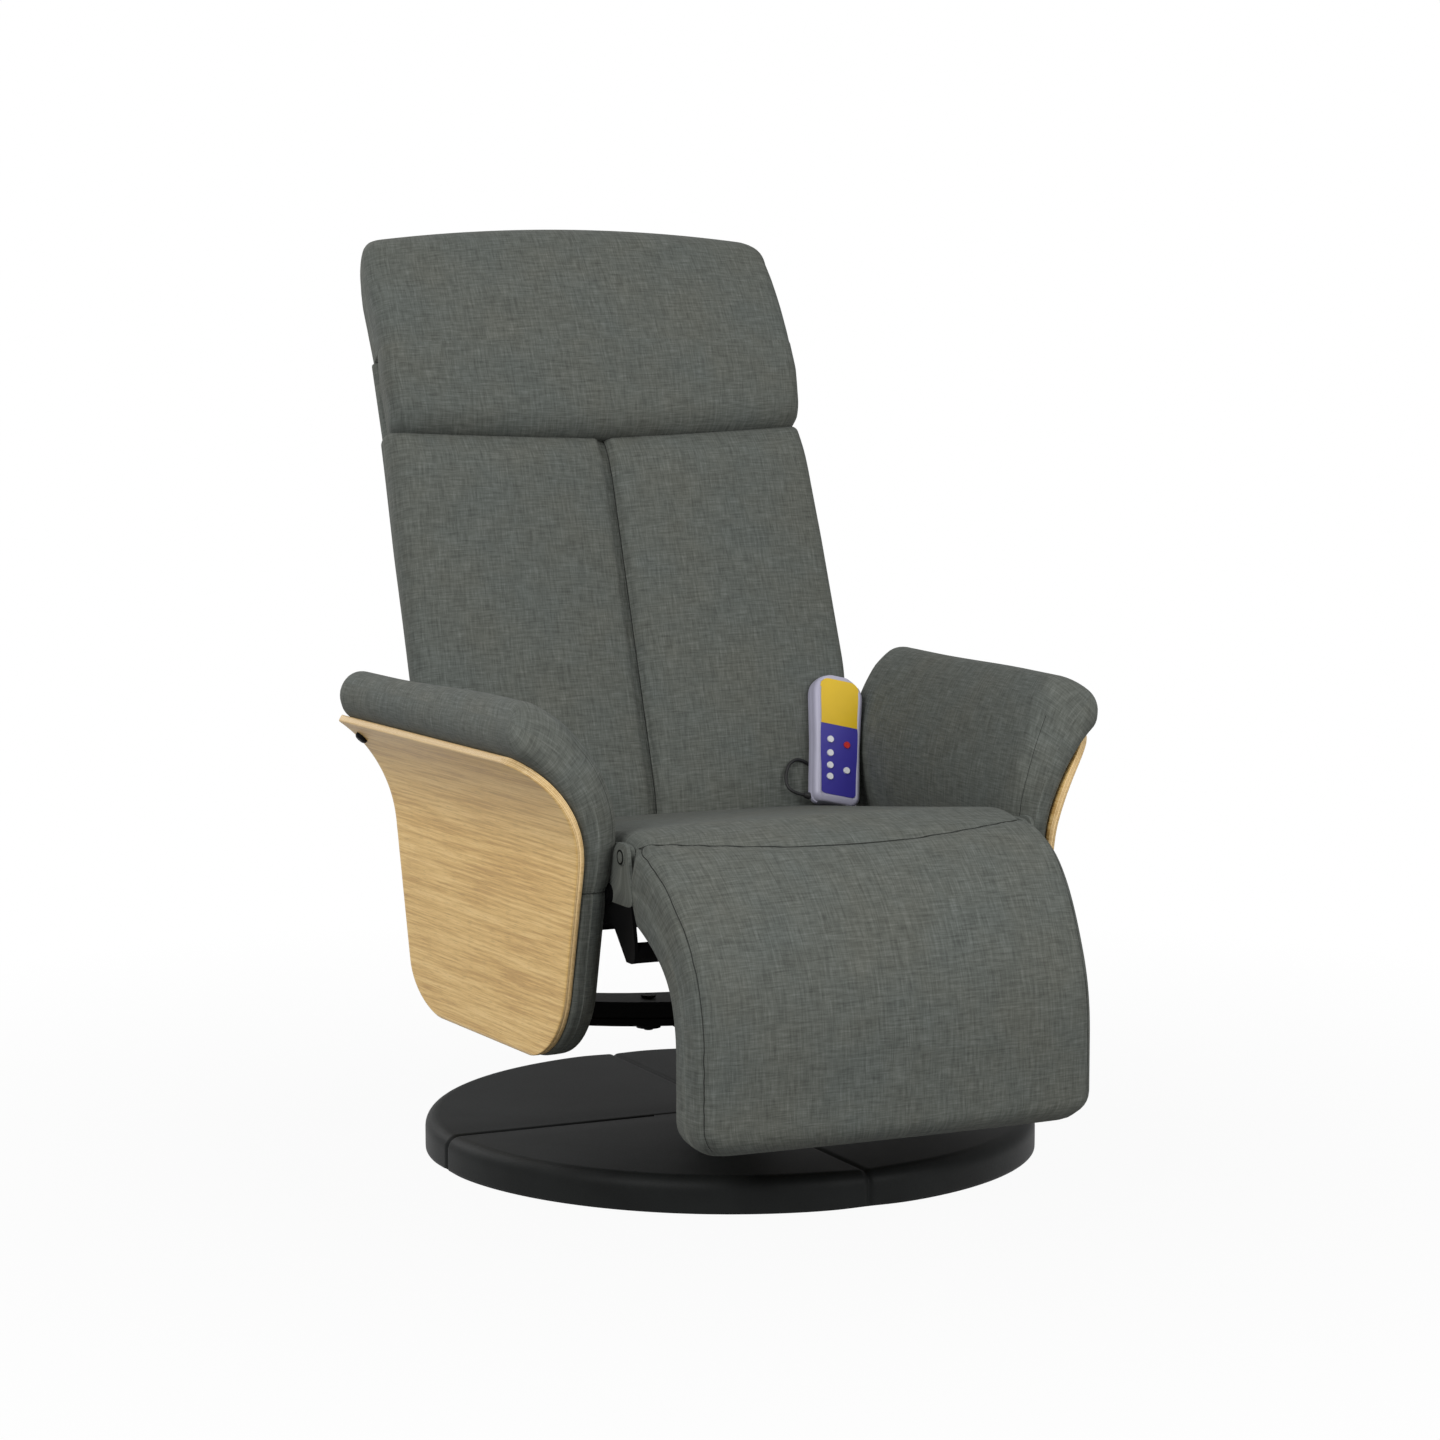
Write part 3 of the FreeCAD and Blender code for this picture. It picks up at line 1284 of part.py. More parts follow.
def button_places():
    """Where each button sits on the keypad."""
    span = s.display_start - s.window_foot
    places = {}
    for label, (across_share, up_share) in BUTTON_SHARES.items():
        up = s.window_foot + span * up_share
        half = s.handset_foot_width / 2 - s.window_inset
        places[label] = (half * across_share, up)
    return places


def make_handset():
    length = s.handset_length
    wall = s.handset_wall
    foot_corner = s.handset_foot_corner
    head_corner = s.handset_head_corner
    rear = handset_plate(ZERO, ZERO, length, s.handset_rear_depth, ZERO, foot_corner, head_corner)
    cavity = handset_plate(
        wall, wall, length - wall, s.handset_rear_depth, wall, foot_corner - wall, head_corner - wall)
    piece(cut(rear, cavity), "handset_rear_shell")
    front = handset_plate(
        ZERO, ZERO, length, s.handset_front_depth, s.handset_rear_depth, foot_corner, head_corner)
    room = handset_plate(
        wall, wall, length - wall, PANEL_LOW - s.handset_rear_depth, s.handset_rear_depth,
        foot_corner - wall, head_corner - wall)
    window_top = length - s.window_inset
    window = handset_plate(
        s.window_inset, s.window_foot, window_top, s.handset_front_depth, s.handset_rear_depth,
        s.window_corner, s.window_head_corner)
    piece(cut(cut(front, room), window), "handset_front_shell")
    gap = s.panel_gap
    snug = s.window_inset + gap
    spots = button_places()
    holes = [(x, y, s.button_radius + s.button_clearance) for x, y in spots.values()]
    small = s.panel_corner
    piece(handset_plate(
        snug, s.window_foot + gap, s.display_start, s.panel_thickness, PANEL_LOW,
        s.window_corner, small, holes), "handset_keypad")
    piece(handset_plate(
        snug, s.display_start + gap, window_top - gap, s.panel_thickness, PANEL_LOW,
        small, s.window_head_corner), "handset_display")
    board_z = s.handset_rear_depth - s.board_thickness
    piece(handset_plate(
        wall + gap, wall + gap, length - wall - gap, s.board_thickness, board_z,
        foot_corner - wall, head_corner - wall), "handset_circuit_board")
    skirt_low = s.handset_rear_depth + s.button_flange
    skirt_top = PANEL_LOW - s.panel_gap
    for label, (x, y) in spots.items():
        cap = turned([
            (ZERO, skirt_low), (s.button_radius, skirt_low), (s.button_radius, skirt_top - s.button_flange),
            (s.button_radius + s.button_flange, skirt_top - s.button_flange),
            (s.button_radius + s.button_flange, skirt_top), (s.button_radius, skirt_top),
            (s.button_radius, FACE_Z + s.button_proud), (ZERO, FACE_Z + s.button_proud),
        ])
        cap.Placement = HANDSET * Placement(point(x, y, 0), Rotation())
        piece(cap, label)


def relief_frame():
    """On the left side of the handset near its foot, pointing away from it."""
    half = s.handset_foot_width / 2 + TAPER * s.relief_run + s.pad_gap
    return HANDSET * Placement(
        point(-half, s.relief_run, s.handset_rear_depth / 2), Rotation(Z_AXIS, Vector(-1, 0, 0)))


def make_cord():
    """The strain relief and the cord, straight runs joined by tangent arcs."""
    frame = relief_frame()
    relief = doc.addObject("Part::Cone", "cone")
    bind(relief, "Radius1", s.relief_radius)
    bind(relief, "Radius2", s.relief_tip_radius)
    bind(relief, "Height", s.relief_length)
    relief.Placement = frame
    piece(relief, "handset_strain_relief")
    start = frame.multVec(point(0, 0, s.relief_length))
    route = [start, frame.multVec(point(0, 0, s.relief_length + s.cord_first_run))]
    for number in range(len(CORD_ROUTE)):
        x, behind, z = (getattr(s, f"cord_{axis}_{number}") for axis in "xyz")
        route.append(point(x, BACK_Y + behind, z))
    route.append(point(s.rail_x + s.rail_thickness / 2, *CORD_EXIT))
    edges = []
    radii = []
    here = route[0]
    for before, corner, after in zip(route, route[1:], route[2:]):
        way_in = corner - before
        way_out = after - corner
        half_turn = way_in.getAngle(way_out) / 2
        reach = CORD_REACH_SHARE * min(way_in.Length, way_out.Length)
        radii.append(reach / math.tan(half_turn))
        way_in.normalize()
        way_out.normalize()
        first = corner - way_in * reach
        last = corner + way_out * reach
        inward = (way_out - way_in).normalize()
        middle = corner + inward * (radii[-1] / math.cos(half_turn) - radii[-1])
        edges.append(straight(here, first))
        edges.append(curved(first, middle, last))
        here = last
    edges.append(straight(here, route[-1]))
    ring = Part.Wire([Part.Circle(start, route[1] - start, float(s.cord_radius)).toShape()])
    cord = doc.addObject("Part::Feature", "cord")
    cord.Shape = Part.Wire(edges).makePipeShell([ring], True, False)
    piece(cord, "handset_cord")
    print("cord route", [tuple(round(c, 2) for c in spot) for spot in route])
    print("cord radii", [round(radius, 1) for radius in radii])


CORD_REACH_SHARE = 0.45


def check_and_write():
    """Stops on any failed object, then writes each sub-part to its own file."""
    doc.recompute()
    for thing in doc.Objects:
        if "Invalid" in thing.State or "Error" in thing.State:
            raise RuntimeError(f"{thing.Label} did not build: {thing.State}")
    for thing in pieces:
        if thing.Shape.isNull() or not thing.Shape.isValid():
            raise RuntimeError(f"{thing.Label} has no valid shape")
    os.makedirs("parts", exist_ok=True)
    for thing in pieces:
        thing.Shape.exportStep(f"parts/{thing.Label}.step")


make_base()
make_hub()
make_crossbar()
make_arms()
make_flare_bolts()
make_arm_fittings()
make_rails()
make_seat_frame()
make_seat_cushion()
make_back_cushion()
make_headrest()
make_back_board_and_cover()
make_back_brackets()
make_pivots()
make_footrest()
make_footrest_cushion()
make_links()
make_handset()
make_cord()
check_and_write()
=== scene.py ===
import json
import math

import bpy
import numpy as np
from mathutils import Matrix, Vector
from mathutils.bvhtree import BVHTree


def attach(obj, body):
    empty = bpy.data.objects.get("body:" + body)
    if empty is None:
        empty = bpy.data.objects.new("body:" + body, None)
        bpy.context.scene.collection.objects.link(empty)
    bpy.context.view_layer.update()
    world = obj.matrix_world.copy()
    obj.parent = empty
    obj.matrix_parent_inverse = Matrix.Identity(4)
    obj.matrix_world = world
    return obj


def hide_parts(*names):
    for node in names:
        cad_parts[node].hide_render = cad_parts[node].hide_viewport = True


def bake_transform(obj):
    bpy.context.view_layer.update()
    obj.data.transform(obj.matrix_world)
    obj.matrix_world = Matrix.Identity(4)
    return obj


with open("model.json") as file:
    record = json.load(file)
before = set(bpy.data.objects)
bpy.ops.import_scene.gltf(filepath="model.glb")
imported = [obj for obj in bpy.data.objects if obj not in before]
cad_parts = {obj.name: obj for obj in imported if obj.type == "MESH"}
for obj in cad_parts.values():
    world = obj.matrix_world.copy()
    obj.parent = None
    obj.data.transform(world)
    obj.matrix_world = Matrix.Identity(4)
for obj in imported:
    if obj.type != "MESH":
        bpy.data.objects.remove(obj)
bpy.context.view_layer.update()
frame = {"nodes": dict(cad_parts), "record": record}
scene = bpy.context.scene


# Frames of the tilted seat, the tilted back, the splayed arms and the leaning handset

def tilted(origin_y, origin_z, degrees):
    """A frame turned backwards about X: along runs rearwards and up runs upwards."""
    c, s = math.cos(math.radians(degrees)), math.sin(math.radians(degrees))

    def place(x, along, up):
        x, along, up = np.broadcast_arrays(x, along, up)
        return np.stack([x, origin_y + along * c + up * s, origin_z - along * s + up * c], -1)

    return place


on_seat = tilted(-0.253, 0.394, 5.5)
on_back = tilted(0.205, 0.348, 18.7)
ARM_X, ARM_TURN = 0.305, math.radians(3.2)


def on_arm(x, y, z, side):
    """Arm frame of one side: turned outwards to the rear about Z, mirrored for the left."""
    x, y, z = np.broadcast_arrays(x, y, z)
    c, s = math.cos(ARM_TURN), math.sin(ARM_TURN)
    return np.stack([side * (x * c + y * s), ARM_X * s - x * s + y * c, z], -1)


HANDSET_FOOT, HANDSET_LEAN, HANDSET_ROLL = (0.220, 0.185, 0.354), math.radians(67), math.radians(13)


def on_handset(x, y, z):
    """Handset frame: x across, y up its length, z out of its face; leant back about X, rolled about Y."""
    x, y, z = np.broadcast_arrays(x, y, z)
    cl, sl = math.cos(HANDSET_LEAN), math.sin(HANDSET_LEAN)
    cr, sr = math.cos(HANDSET_ROLL), math.sin(HANDSET_ROLL)
    back, high = y * cl - z * sl, y * sl + z * cl
    foot_x, foot_y, foot_z = HANDSET_FOOT
    return np.stack([foot_x + x * cr + high * sr, foot_y + back, foot_z - x * sr + high * cr], -1)


# Mesh making from whole arrays

def smooth_rows(values, times):
    """Evens a table out along its first axis.

    Each time, all rows but the first and last become half of themselves and a quarter of each neighbour.
    """
    values = np.array(values, float)
    for _ in range(times):
        values[1:-1] = values[1:-1] * 0.5 + (values[:-2] + values[2:]) * 0.25
    return values


def table_at(run, table):
    """Values at places along a run, read from a table of (place, value) pairs in straight steps."""
    return np.interp(run, *zip(*table))


def eased(share):
    """A share from 0 to 1 that starts and ends gently: three times its square less twice its cube."""
    return share ** 2 * (3 - 2 * share)


def walked(points):
    """Distance walked along a line of points, from 0."""
    return np.r_[0, np.cumsum(np.linalg.norm(np.diff(points, axis=0), axis=1))]


def resample(points, count):
    """The same line with evenly spaced points."""
    points = np.asarray(points, float)
    run = walked(points)
    even = np.linspace(0, run[-1], count)
    return np.stack([np.interp(even, run, points[:, i]) for i in range(points.shape[1])], -1)


def lengths(points, axis):
    """Distance walked along one axis of a grid of points, from 0, averaged over the other axis."""
    steps = np.linalg.norm(np.diff(points, axis=axis), axis=2).mean(axis=1 - axis)
    return np.r_[0, np.cumsum(steps)]


def add_object(name, data):
    thing = bpy.data.objects.new(name, data)
    scene.collection.objects.link(thing)
    return thing


def tube_grid(grid, closed_ends=True):
    """Quads over a grid of rings, closed round the ring, with ladder caps at its ends.

    Gives the four corners of each quad as (row, column).
    """
    rows, count = grid.shape[:2]
    i, k = (part.ravel() for part in np.meshgrid(np.arange(rows - 1), np.arange(count), indexing="ij"))
    corners = ((i, k), (i, k + 1), (i + 1, k + 1), (i + 1, k))
    ring = np.stack([np.stack(corner, -1) for corner in corners], 1)
    if not closed_ends:
        return ring
    j = np.arange(count // 2 - 1)
    caps = []
    for row, order in ((0, 1), (rows - 1, -1)):
        quad = np.stack([j, count - 1 - j, count - 2 - j, j + 1], 1)[:, ::order]
        caps.append(np.stack([np.full_like(quad, row), quad], -1))
    return np.concatenate([ring] + caps)


def ring_piece(name, grid, material, body, replaces=(), closed_ends=True):
    """A smooth skin over a grid of rings, riding on a body.

    Its cloth map is the distance round and along the skin.
    """
    count = grid.shape[1]
    corners = tube_grid(grid, closed_ends)
    around = lengths(np.concatenate([grid, grid[:, :1]], 1), 1)
    around = around - around[count // 4]
    along = lengths(grid, 0)
    uv = np.stack([around[corners[..., 1]], along[corners[..., 0]]], -1)
    faces = corners[..., 0] * count + corners[..., 1] % count
    flat = grid.reshape(-1, 3)
    a, b, c = flat[faces[:, 0]], flat[faces[:, 1]], flat[faces[:, 2]]
    if np.einsum("ij,ij->", a, np.cross(b, c)) < 0:
        faces, uv = faces[:, ::-1], uv[:, ::-1]
    mesh = bpy.data.meshes.new(name)
    mesh.from_pydata(flat.tolist(), [], faces.tolist())
    mesh.uv_layers.new(name="cloth").data.foreach_set("uv", np.asarray(uv, np.float32).ravel())
    mesh.polygons.foreach_set("use_smooth", np.ones(len(mesh.polygons), bool))
    mesh.update()
    mesh.materials.append(material)
    piece = add_object(name, mesh)
    if body:
        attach(piece, body)
    if replaces:
        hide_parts(*replaces)
    return piece


def coordinates(mesh):
    co = np.empty(len(mesh.vertices) * 3, np.float32)
    mesh.vertices.foreach_get("co", co)
    return co.reshape(-1, 3).astype(float)


def set_coordinates(piece, co):
    piece.data.vertices.foreach_set("co", np.asarray(co, np.float32).ravel())
    piece.data.update()


def half_ring(count_side, count_corner, count_top, reach, high, corner):
    """Upper half of a rounded rectangle, from the left mid-side over the top to the right: across and up."""
    turn = np.linspace(0, math.pi / 2, count_corner)
    side = np.linspace(0, 1, count_side, endpoint=False)[None, :]
    flat = np.linspace(-1, 1, count_top + 2)[1:-1][None, :]
    reach, high, corner = (np.asarray(v, float)[:, None] for v in (reach, high, corner))
    across = np.concatenate([
        -reach + 0 * side, -reach + corner * (1 - np.cos(turn)), (reach - corner) * flat,
        reach - corner * (1 - np.sin(turn)), reach + 0 * side], 1)
    up = np.concatenate([
        (high - corner) * side, high - corner * (1 - np.sin(turn)), high + 0 * flat,
        high - corner * (1 - np.cos(turn)), (high - corner) * (1 - side - side[:, 1:2])], 1)
    return across, up


def whole_ring(top, low):
    """A ring of its two halves: over the top and back along the bottom."""
    return np.concatenate([top, low[:, ::-1]], 1)


def held_points(grid, half):
    """A mask of the points that stay put: each ring's inner half, and the first and last two rings."""
    held = np.zeros(grid.shape[:2], bool)
    held[:, half:] = held[:2] = held[-2:] = True
    return held


def rounded_end(run, total, start_radius, end_radius):
    """How far a skin draws in near the two ends of its run, as a quarter circle would."""
    inset = np.zeros_like(run)
    for distance, radius in ((run, start_radius), (total - run, end_radius)):
        near = np.clip(radius - distance, 0, radius)
        inset += radius - np.sqrt(radius ** 2 - near ** 2)
    return inset


def end_spaced(total, step, first, last, count=9):
    """Places along a run, even in the middle and closer together round the two ends."""
    turn = np.linspace(0, math.pi / 2, count)[:-1]
    middle = np.linspace(first, total - last, int((total - first - last) / step))
    return np.r_[first * (1 - np.cos(turn)), middle, total - last + last * np.sin(turn[1:]), total]


# Soft filling

AIR_FRAMES = 20
CLOTH_FEEL = {
    "quality": 5, "mass": 0.35, "tension_stiffness": 22, "compression_stiffness": 22, "shear_stiffness": 9,
    "bending_stiffness": 1.2, "air_damping": 3, "use_pressure": True, "uniform_pressure_force": 4.0,
    "vertex_group_mass": "held"}


def fill_with_air(piece, held, cap):
    """Cloth with pressure inside and no gravity, held where it is sewn or carried.

    No point moves further than the cap.
    """
    rest = coordinates(piece.data)
    group = piece.vertex_groups.new(name="held")
    group.add(np.flatnonzero(held).tolist(), 1.0, "REPLACE")
    cloth = piece.modifiers.new("filling", "CLOTH")
    for setting, value in CLOTH_FEEL.items():
        setattr(cloth.settings, setting, value)
    cloth.settings.effector_weights.gravity = 0
    cloth.collision_settings.use_collision = False
    cloth.point_cache.frame_start = 1
    cloth.point_cache.frame_end = AIR_FRAMES
    for number in range(1, AIR_FRAMES + 1):
        scene.frame_set(number)
    shaped = piece.evaluated_get(bpy.context.evaluated_depsgraph_get())
    move = coordinates(shaped.to_mesh()) - rest
    shaped.to_mesh_clear()
    far = np.linalg.norm(move, axis=1, keepdims=True)
    move *= np.minimum(1, cap / np.maximum(far, 1e-9))
    piece.modifiers.remove(cloth)
    piece.vertex_groups.remove(group)
    scene.frame_set(1)
    set_coordinates(piece, rest + move)


DENT_POINTS, SEAM_POINTS, SEAM_SINK, TUBE_HINT = 160, 140, 0.0004, (0.31, 0.22, 0.92)


def press_seam(piece, path, depth, width):
    """Draws the skin in along a seam: a bell-shaped dent across the line, along the skin's own normals."""
    co = coordinates(piece.data)
    normal = np.empty(len(co) * 3, np.float32)
    piece.data.vertices.foreach_get("normal", normal)
    path = resample(path, DENT_POINTS)
    near = np.full(len(co), np.inf)
    box = ((co > path.min(0) - 4 * width) & (co < path.max(0) + 4 * width)).all(1)
    near[box] = np.linalg.norm(co[box][:, None, :] - path[None, :, :], axis=2).min(1)
    dent = depth * np.exp(-(near / width) ** 2)
    set_coordinates(piece, co - normal.reshape(-1, 3) * dent[:, None])


def tube_along(path, radius):
    """Rings round a path: at each point a circle across the path's direction."""
    ahead = np.gradient(path, axis=0)
    ahead /= np.linalg.norm(ahead, axis=1, keepdims=True)
    side = np.cross(ahead, TUBE_HINT)
    side /= np.linalg.norm(side, axis=1, keepdims=True)
    up = np.cross(side, ahead)
    turn = np.linspace(0, 2 * math.pi, 8, endpoint=False)
    ring = side[:, None] * np.cos(turn)[:, None] + up[:, None] * np.sin(turn)[:, None]
    return path[:, None] + ring * radius


def laid_on(piece, path):
    """Points of a path moved on to a piece's skin, then sunk a little along its normals."""
    tree = BVHTree.FromObject(piece, bpy.context.evaluated_depsgraph_get())
    spots = []
    for spot in path:
        place, normal, _, _ = tree.find_nearest(Vector(spot))
        spots.append(np.array(place) - np.array(normal) * SEAM_SINK)
    return smooth_rows(np.array(spots), 3)


def sewn_seam(name, piece, path, body, depth, width, radius=0.0011):
    """A pressed seam with its rolled edge lying in it; the edge is a much darker linen, painted shade for the
    seam's groove.
    """
    press_seam(piece, path, depth, width)
    line = laid_on(piece, resample(path, SEAM_POINTS))
    return ring_piece(name, tube_along(line, radius), seam_shade_linen, body)


# Shader groups and materials

def put(tree, socket, value):
    """Sets a socket to a value, or links another socket to it."""
    if isinstance(value, bpy.types.NodeSocket):
        tree.links.new(value, socket)
    else:
        socket.default_value = value


def add_node(tree, kind, settings=None, **values):
    """A node with its settings, and with what is put on the sockets of those names."""
    node = tree.nodes.new(kind)
    for key, value in (settings or {}).items():
        setattr(node, key, value)
    for key, value in values.items():
        put(tree, node.inputs[key.replace("_", " ")], value)
    return node


def new_group(name, inputs, outputs):
    """A shader group with its own sockets: the group, what comes in and what goes out."""
    group = bpy.data.node_groups.new(name, "ShaderNodeTree")
    for label, kind in inputs.items():
        group.interface.new_socket(label, in_out="INPUT", socket_type=kind)
    for label in outputs:
        group.interface.new_socket(label, in_out="OUTPUT", socket_type="NodeSocketFloat")
    return group, group.nodes.new("NodeGroupInput").outputs, group.nodes.new("NodeGroupOutput").inputs


def maths(tree, operation, first, second):
    node = add_node(tree, "ShaderNodeMath", {"operation": operation})
    put(tree, node.inputs[0], first)
    put(tree, node.inputs[1], second)
    return node.outputs[0]


def scaled(tree, value, factor, offset):
    return maths(tree, "ADD", maths(tree, "MULTIPLY", value, factor), offset)


def stretched_noise(tree, vector, scale, detail, rough=0.5):
    """Noise over coordinates that are multiplied by a scale on each axis."""
    here = add_node(tree, "ShaderNodeMapping", Vector=vector, Scale=scale).outputs[0]
    noise = add_node(tree, "ShaderNodeTexNoise", Vector=here, Scale=1.0, Detail=detail, Roughness=rough)
    return noise.outputs["Fac"]


def ramp(tree, value, stops):
    node = add_node(tree, "ShaderNodeValToRGB", Fac=value)
    while len(node.color_ramp.elements) < len(stops):
        node.color_ramp.elements.new(0.5)
    for element, (place, colour) in zip(node.color_ramp.elements, stops):
        element.position = place
        element.color = (*colour, 1)
    return node.outputs["Color"]


# Scale and share of each layer of threads, and scales of the weave's rows, the slow tint and the lint

THREADS = (((60, 760, 1), 0.26), ((760, 60, 1), 0.24), ((34, 330, 1), 0.25), ((330, 30, 1), 0.25))
WEAVE_ROWS, TINT_SCALE, LINT_SCALE = 290.0, (9, 9, 1), (900, 900, 1)


def make_weave_group():
    """Slubby plain weave.

    The threads' tone is a sum of stretched noises, fine and coarse, along and across. Their height is the
    product of two crossed waves, and twice the tone.
    """
    group, given, out = new_group(
        "plain_weave", {"Map": "NodeSocketVector"}, ("Tone", "Tint", "Height", "Lint"))
    here = given["Map"]
    tone = None
    for scale, share in THREADS:
        thread = maths(group, "MULTIPLY", stretched_noise(group, here, scale, 2.0, 0.6), share)
        tone = thread if tone is None else maths(group, "ADD", tone, thread)
    height = None
    for direction in ("X", "Y"):
        wave = add_node(
            group, "ShaderNodeTexWave", {"bands_direction": direction},
            Vector=here, Scale=WEAVE_ROWS, Distortion=1.2, Detail=1.0)
        row = wave.outputs["Fac"]
        height = row if height is None else maths(group, "MULTIPLY", height, row)
    results = {
        "Tone": tone,
        "Tint": stretched_noise(group, here, TINT_SCALE, 3.0, 0.6),
        "Height": maths(group, "ADD", height, maths(group, "MULTIPLY", tone, 2.0)),
        "Lint": stretched_noise(group, here, LINT_SCALE, 1.0)}
    for label, value in results.items():
        put(group, out[label], value)
    return group


def make_grain_group():
    """Fine speckle with soft clouds, for painted, moulded and leathery skins."""
    group, given, out = new_group(
        "fine_grain", {"Map": "NodeSocketVector", "Size": "NodeSocketFloat"}, ("Speckle", "Cloud", "Cells"))
    here, size = given["Map"], given["Size"]
    speck = add_node(group, "ShaderNodeTexNoise", Vector=here, Scale=size, Detail=2.0, Roughness=0.6)
    cloud = add_node(group, "ShaderNodeTexNoise", Vector=here, Scale=14.0, Detail=3.0, Roughness=0.6)
    cells = add_node(group, "ShaderNodeTexVoronoi", {"feature": "SMOOTH_F1"}, Vector=here, Scale=size)
    put(group, out["Speckle"], speck.outputs["Fac"])
    put(group, out["Cloud"], cloud.outputs["Fac"])
    put(group, out["Cells"], cells.outputs["Distance"])
    return group


weave_group = make_weave_group()
grain_group = make_grain_group()


def new_material(name, **sockets):
    """A material, its tree and its shader, with values on the shader's sockets of those names."""
    material = bpy.data.materials.new(name)
    material.use_nodes = True
    tree = material.node_tree
    shader = tree.nodes["Principled BSDF"]
    for key, value in sockets.items():
        shader.inputs[key.replace("_", " ")].default_value = value
    return material, tree, shader


def dress(tree, shader, colour, roughness, height, strength, distance):
    """Puts a colour, a roughness, and a bump from a height on a shader."""
    bump = add_node(tree, "ShaderNodeBump", Height=height, Strength=strength, Distance=distance)
    put(tree, shader.inputs["Base Color"], colour)
    put(tree, shader.inputs["Roughness"], roughness)
    put(tree, shader.inputs["Normal"], bump.outputs["Normal"])


def multiplied(tree, share, first, second):
    """Two colours multiplied, by a share."""
    node = add_node(tree, "ShaderNodeMix", {"data_type": "RGBA", "blend_type": "MULTIPLY"})
    for socket, value in ((0, share), (6, first), (7, second)):
        put(tree, node.inputs[socket], value)
    return node.outputs[2]


WARM_TINT, COOL_TINT = (1.0, 0.985, 0.955), (0.955, 0.985, 1.0)


def linen_material(name, dark, middle, light):
    """Dull upholstery linen: slubby threads in close greys, drifting between warm and cool."""
    material, tree, shader = new_material(
        name, Roughness=0.9, Sheen_Weight=0.03, Sheen_Roughness=0.5, Specular_IOR_Level=0.18)
    here = add_node(tree, "ShaderNodeUVMap", {"uv_map": "cloth"}).outputs["UV"]
    weave = add_node(tree, "ShaderNodeGroup", {"node_tree": weave_group}, Map=here).outputs
    threads = ramp(tree, weave["Tone"], [(0.37, dark), (0.5, middle), (0.63, light)])
    tint = ramp(tree, weave["Tint"], [(0.36, WARM_TINT), (0.64, COOL_TINT)])
    colour = multiplied(tree, 1.0, threads, tint)
    dress(tree, shader, colour, scaled(tree, weave["Lint"], 0.14, 0.82), weave["Height"], 0.32, 0.0005)
    return material


def grained_material(name, colour, roughness, size, spread, bump, specular, cells):
    """A coated or moulded skin: fine grain in its height, soft clouds in its colour and gloss."""
    material, tree, shader = new_material(name, Roughness=roughness, Specular_IOR_Level=specular)
    here = tree.nodes.new("ShaderNodeTexCoord").outputs["Object"]
    grain = add_node(tree, "ShaderNodeGroup", {"node_tree": grain_group}, Map=here, Size=size).outputs
    low = tuple(c * (1 - spread) for c in colour)
    high = tuple(min(c * (1 + spread), 1) for c in colour)
    clouded = ramp(tree, grain["Cloud"], [(0.3, low), (0.7, high)])
    gloss = scaled(tree, grain["Speckle"], 0.16, roughness - 0.08)
    dress(tree, shader, clouded, gloss, grain["Cells" if cells else "Speckle"], bump, 0.0004)
    return material


# Colours of the oak's face and edge from dark to light, of its pores, and the scale of the ply lines

OAK_FACE = ((0.545, 0.328, 0.110), (0.710, 0.470, 0.176), (0.815, 0.572, 0.246))
OAK_EDGE = ((0.540, 0.345, 0.140), (0.700, 0.490, 0.225), (0.790, 0.580, 0.300))
PORE_COLOUR, CLEAR, PLY_LINES = (0.6, 0.56, 0.5), (1, 1, 1), 190.0


def oak_material(name, by_map, tones, plies=False):
    """Lacquered oak: long streaks and pores along the grain, over slow light and dark bands.

    The grain runs along the piece's map or, without one, along Y. plies adds the thin lines of an edge.
    """
    material, tree, shader = new_material(
        name, Roughness=0.45, Coat_Weight=0.05, Coat_Roughness=0.4, Specular_IOR_Level=0.3)
    if by_map:
        here = add_node(tree, "ShaderNodeUVMap", {"uv_map": "cloth"}).outputs["UV"]
    else:
        here = tree.nodes.new("ShaderNodeTexCoord").outputs["Object"]

    def grain(along, across, detail, rough):
        scale = (along, across, across) if by_map else (across, along, across)
        return stretched_noise(tree, here, scale, detail, rough)

    bands = grain(3, 70, 3.0, 0.55)
    streak = grain(10, 330, 4.0, 0.6)
    pores = grain(50, 1300, 2.0, 0.5)
    tone = maths(tree, "ADD", maths(tree, "MULTIPLY", bands, 0.4), maths(tree, "MULTIPLY", streak, 0.6))
    if plies:
        lines = add_node(
            tree, "ShaderNodeTexWave", {"bands_direction": "X"}, Vector=here, Scale=PLY_LINES, Distortion=0.6)
        line = maths(tree, "MULTIPLY", lines.outputs["Fac"], 0.3)
        tone = maths(tree, "ADD", maths(tree, "MULTIPLY", tone, 0.7), line)
    colour = ramp(tree, tone, list(zip((0.41, 0.5, 0.59), tones)))
    fleck = ramp(tree, pores, [(0.32, PORE_COLOUR), (0.44, CLEAR)])
    colour = multiplied(tree, 0.6, colour, fleck)
    dress(tree, shader, colour, scaled(tree, streak, 0.2, 0.36), pores, 0.18, 0.0004)
    return material


linen = linen_material("grey_linen", (0.066, 0.070, 0.063), (0.107, 0.114, 0.102), (0.158, 0.167, 0.153))
# A much darker copy of the linen for the seams' rolled edges: painted shade standing for the shadow in each
# seam's groove.
seam_shade_linen = linen_material("seam_shade_linen", (0.018, 0.019, 0.017), (0.030, 0.032, 0.029), (0.046, 0.048, 0.044))
oak = oak_material("bent_oak", True, OAK_FACE)
oak_edge = oak_material("oak_ply_edge", True, OAK_EDGE, plies=True)
plywood = oak_material("raw_plywood", False, OAK_FACE)

# Coated and moulded skins by slot: colour, roughness, grain to the metre, spread of colour, bump

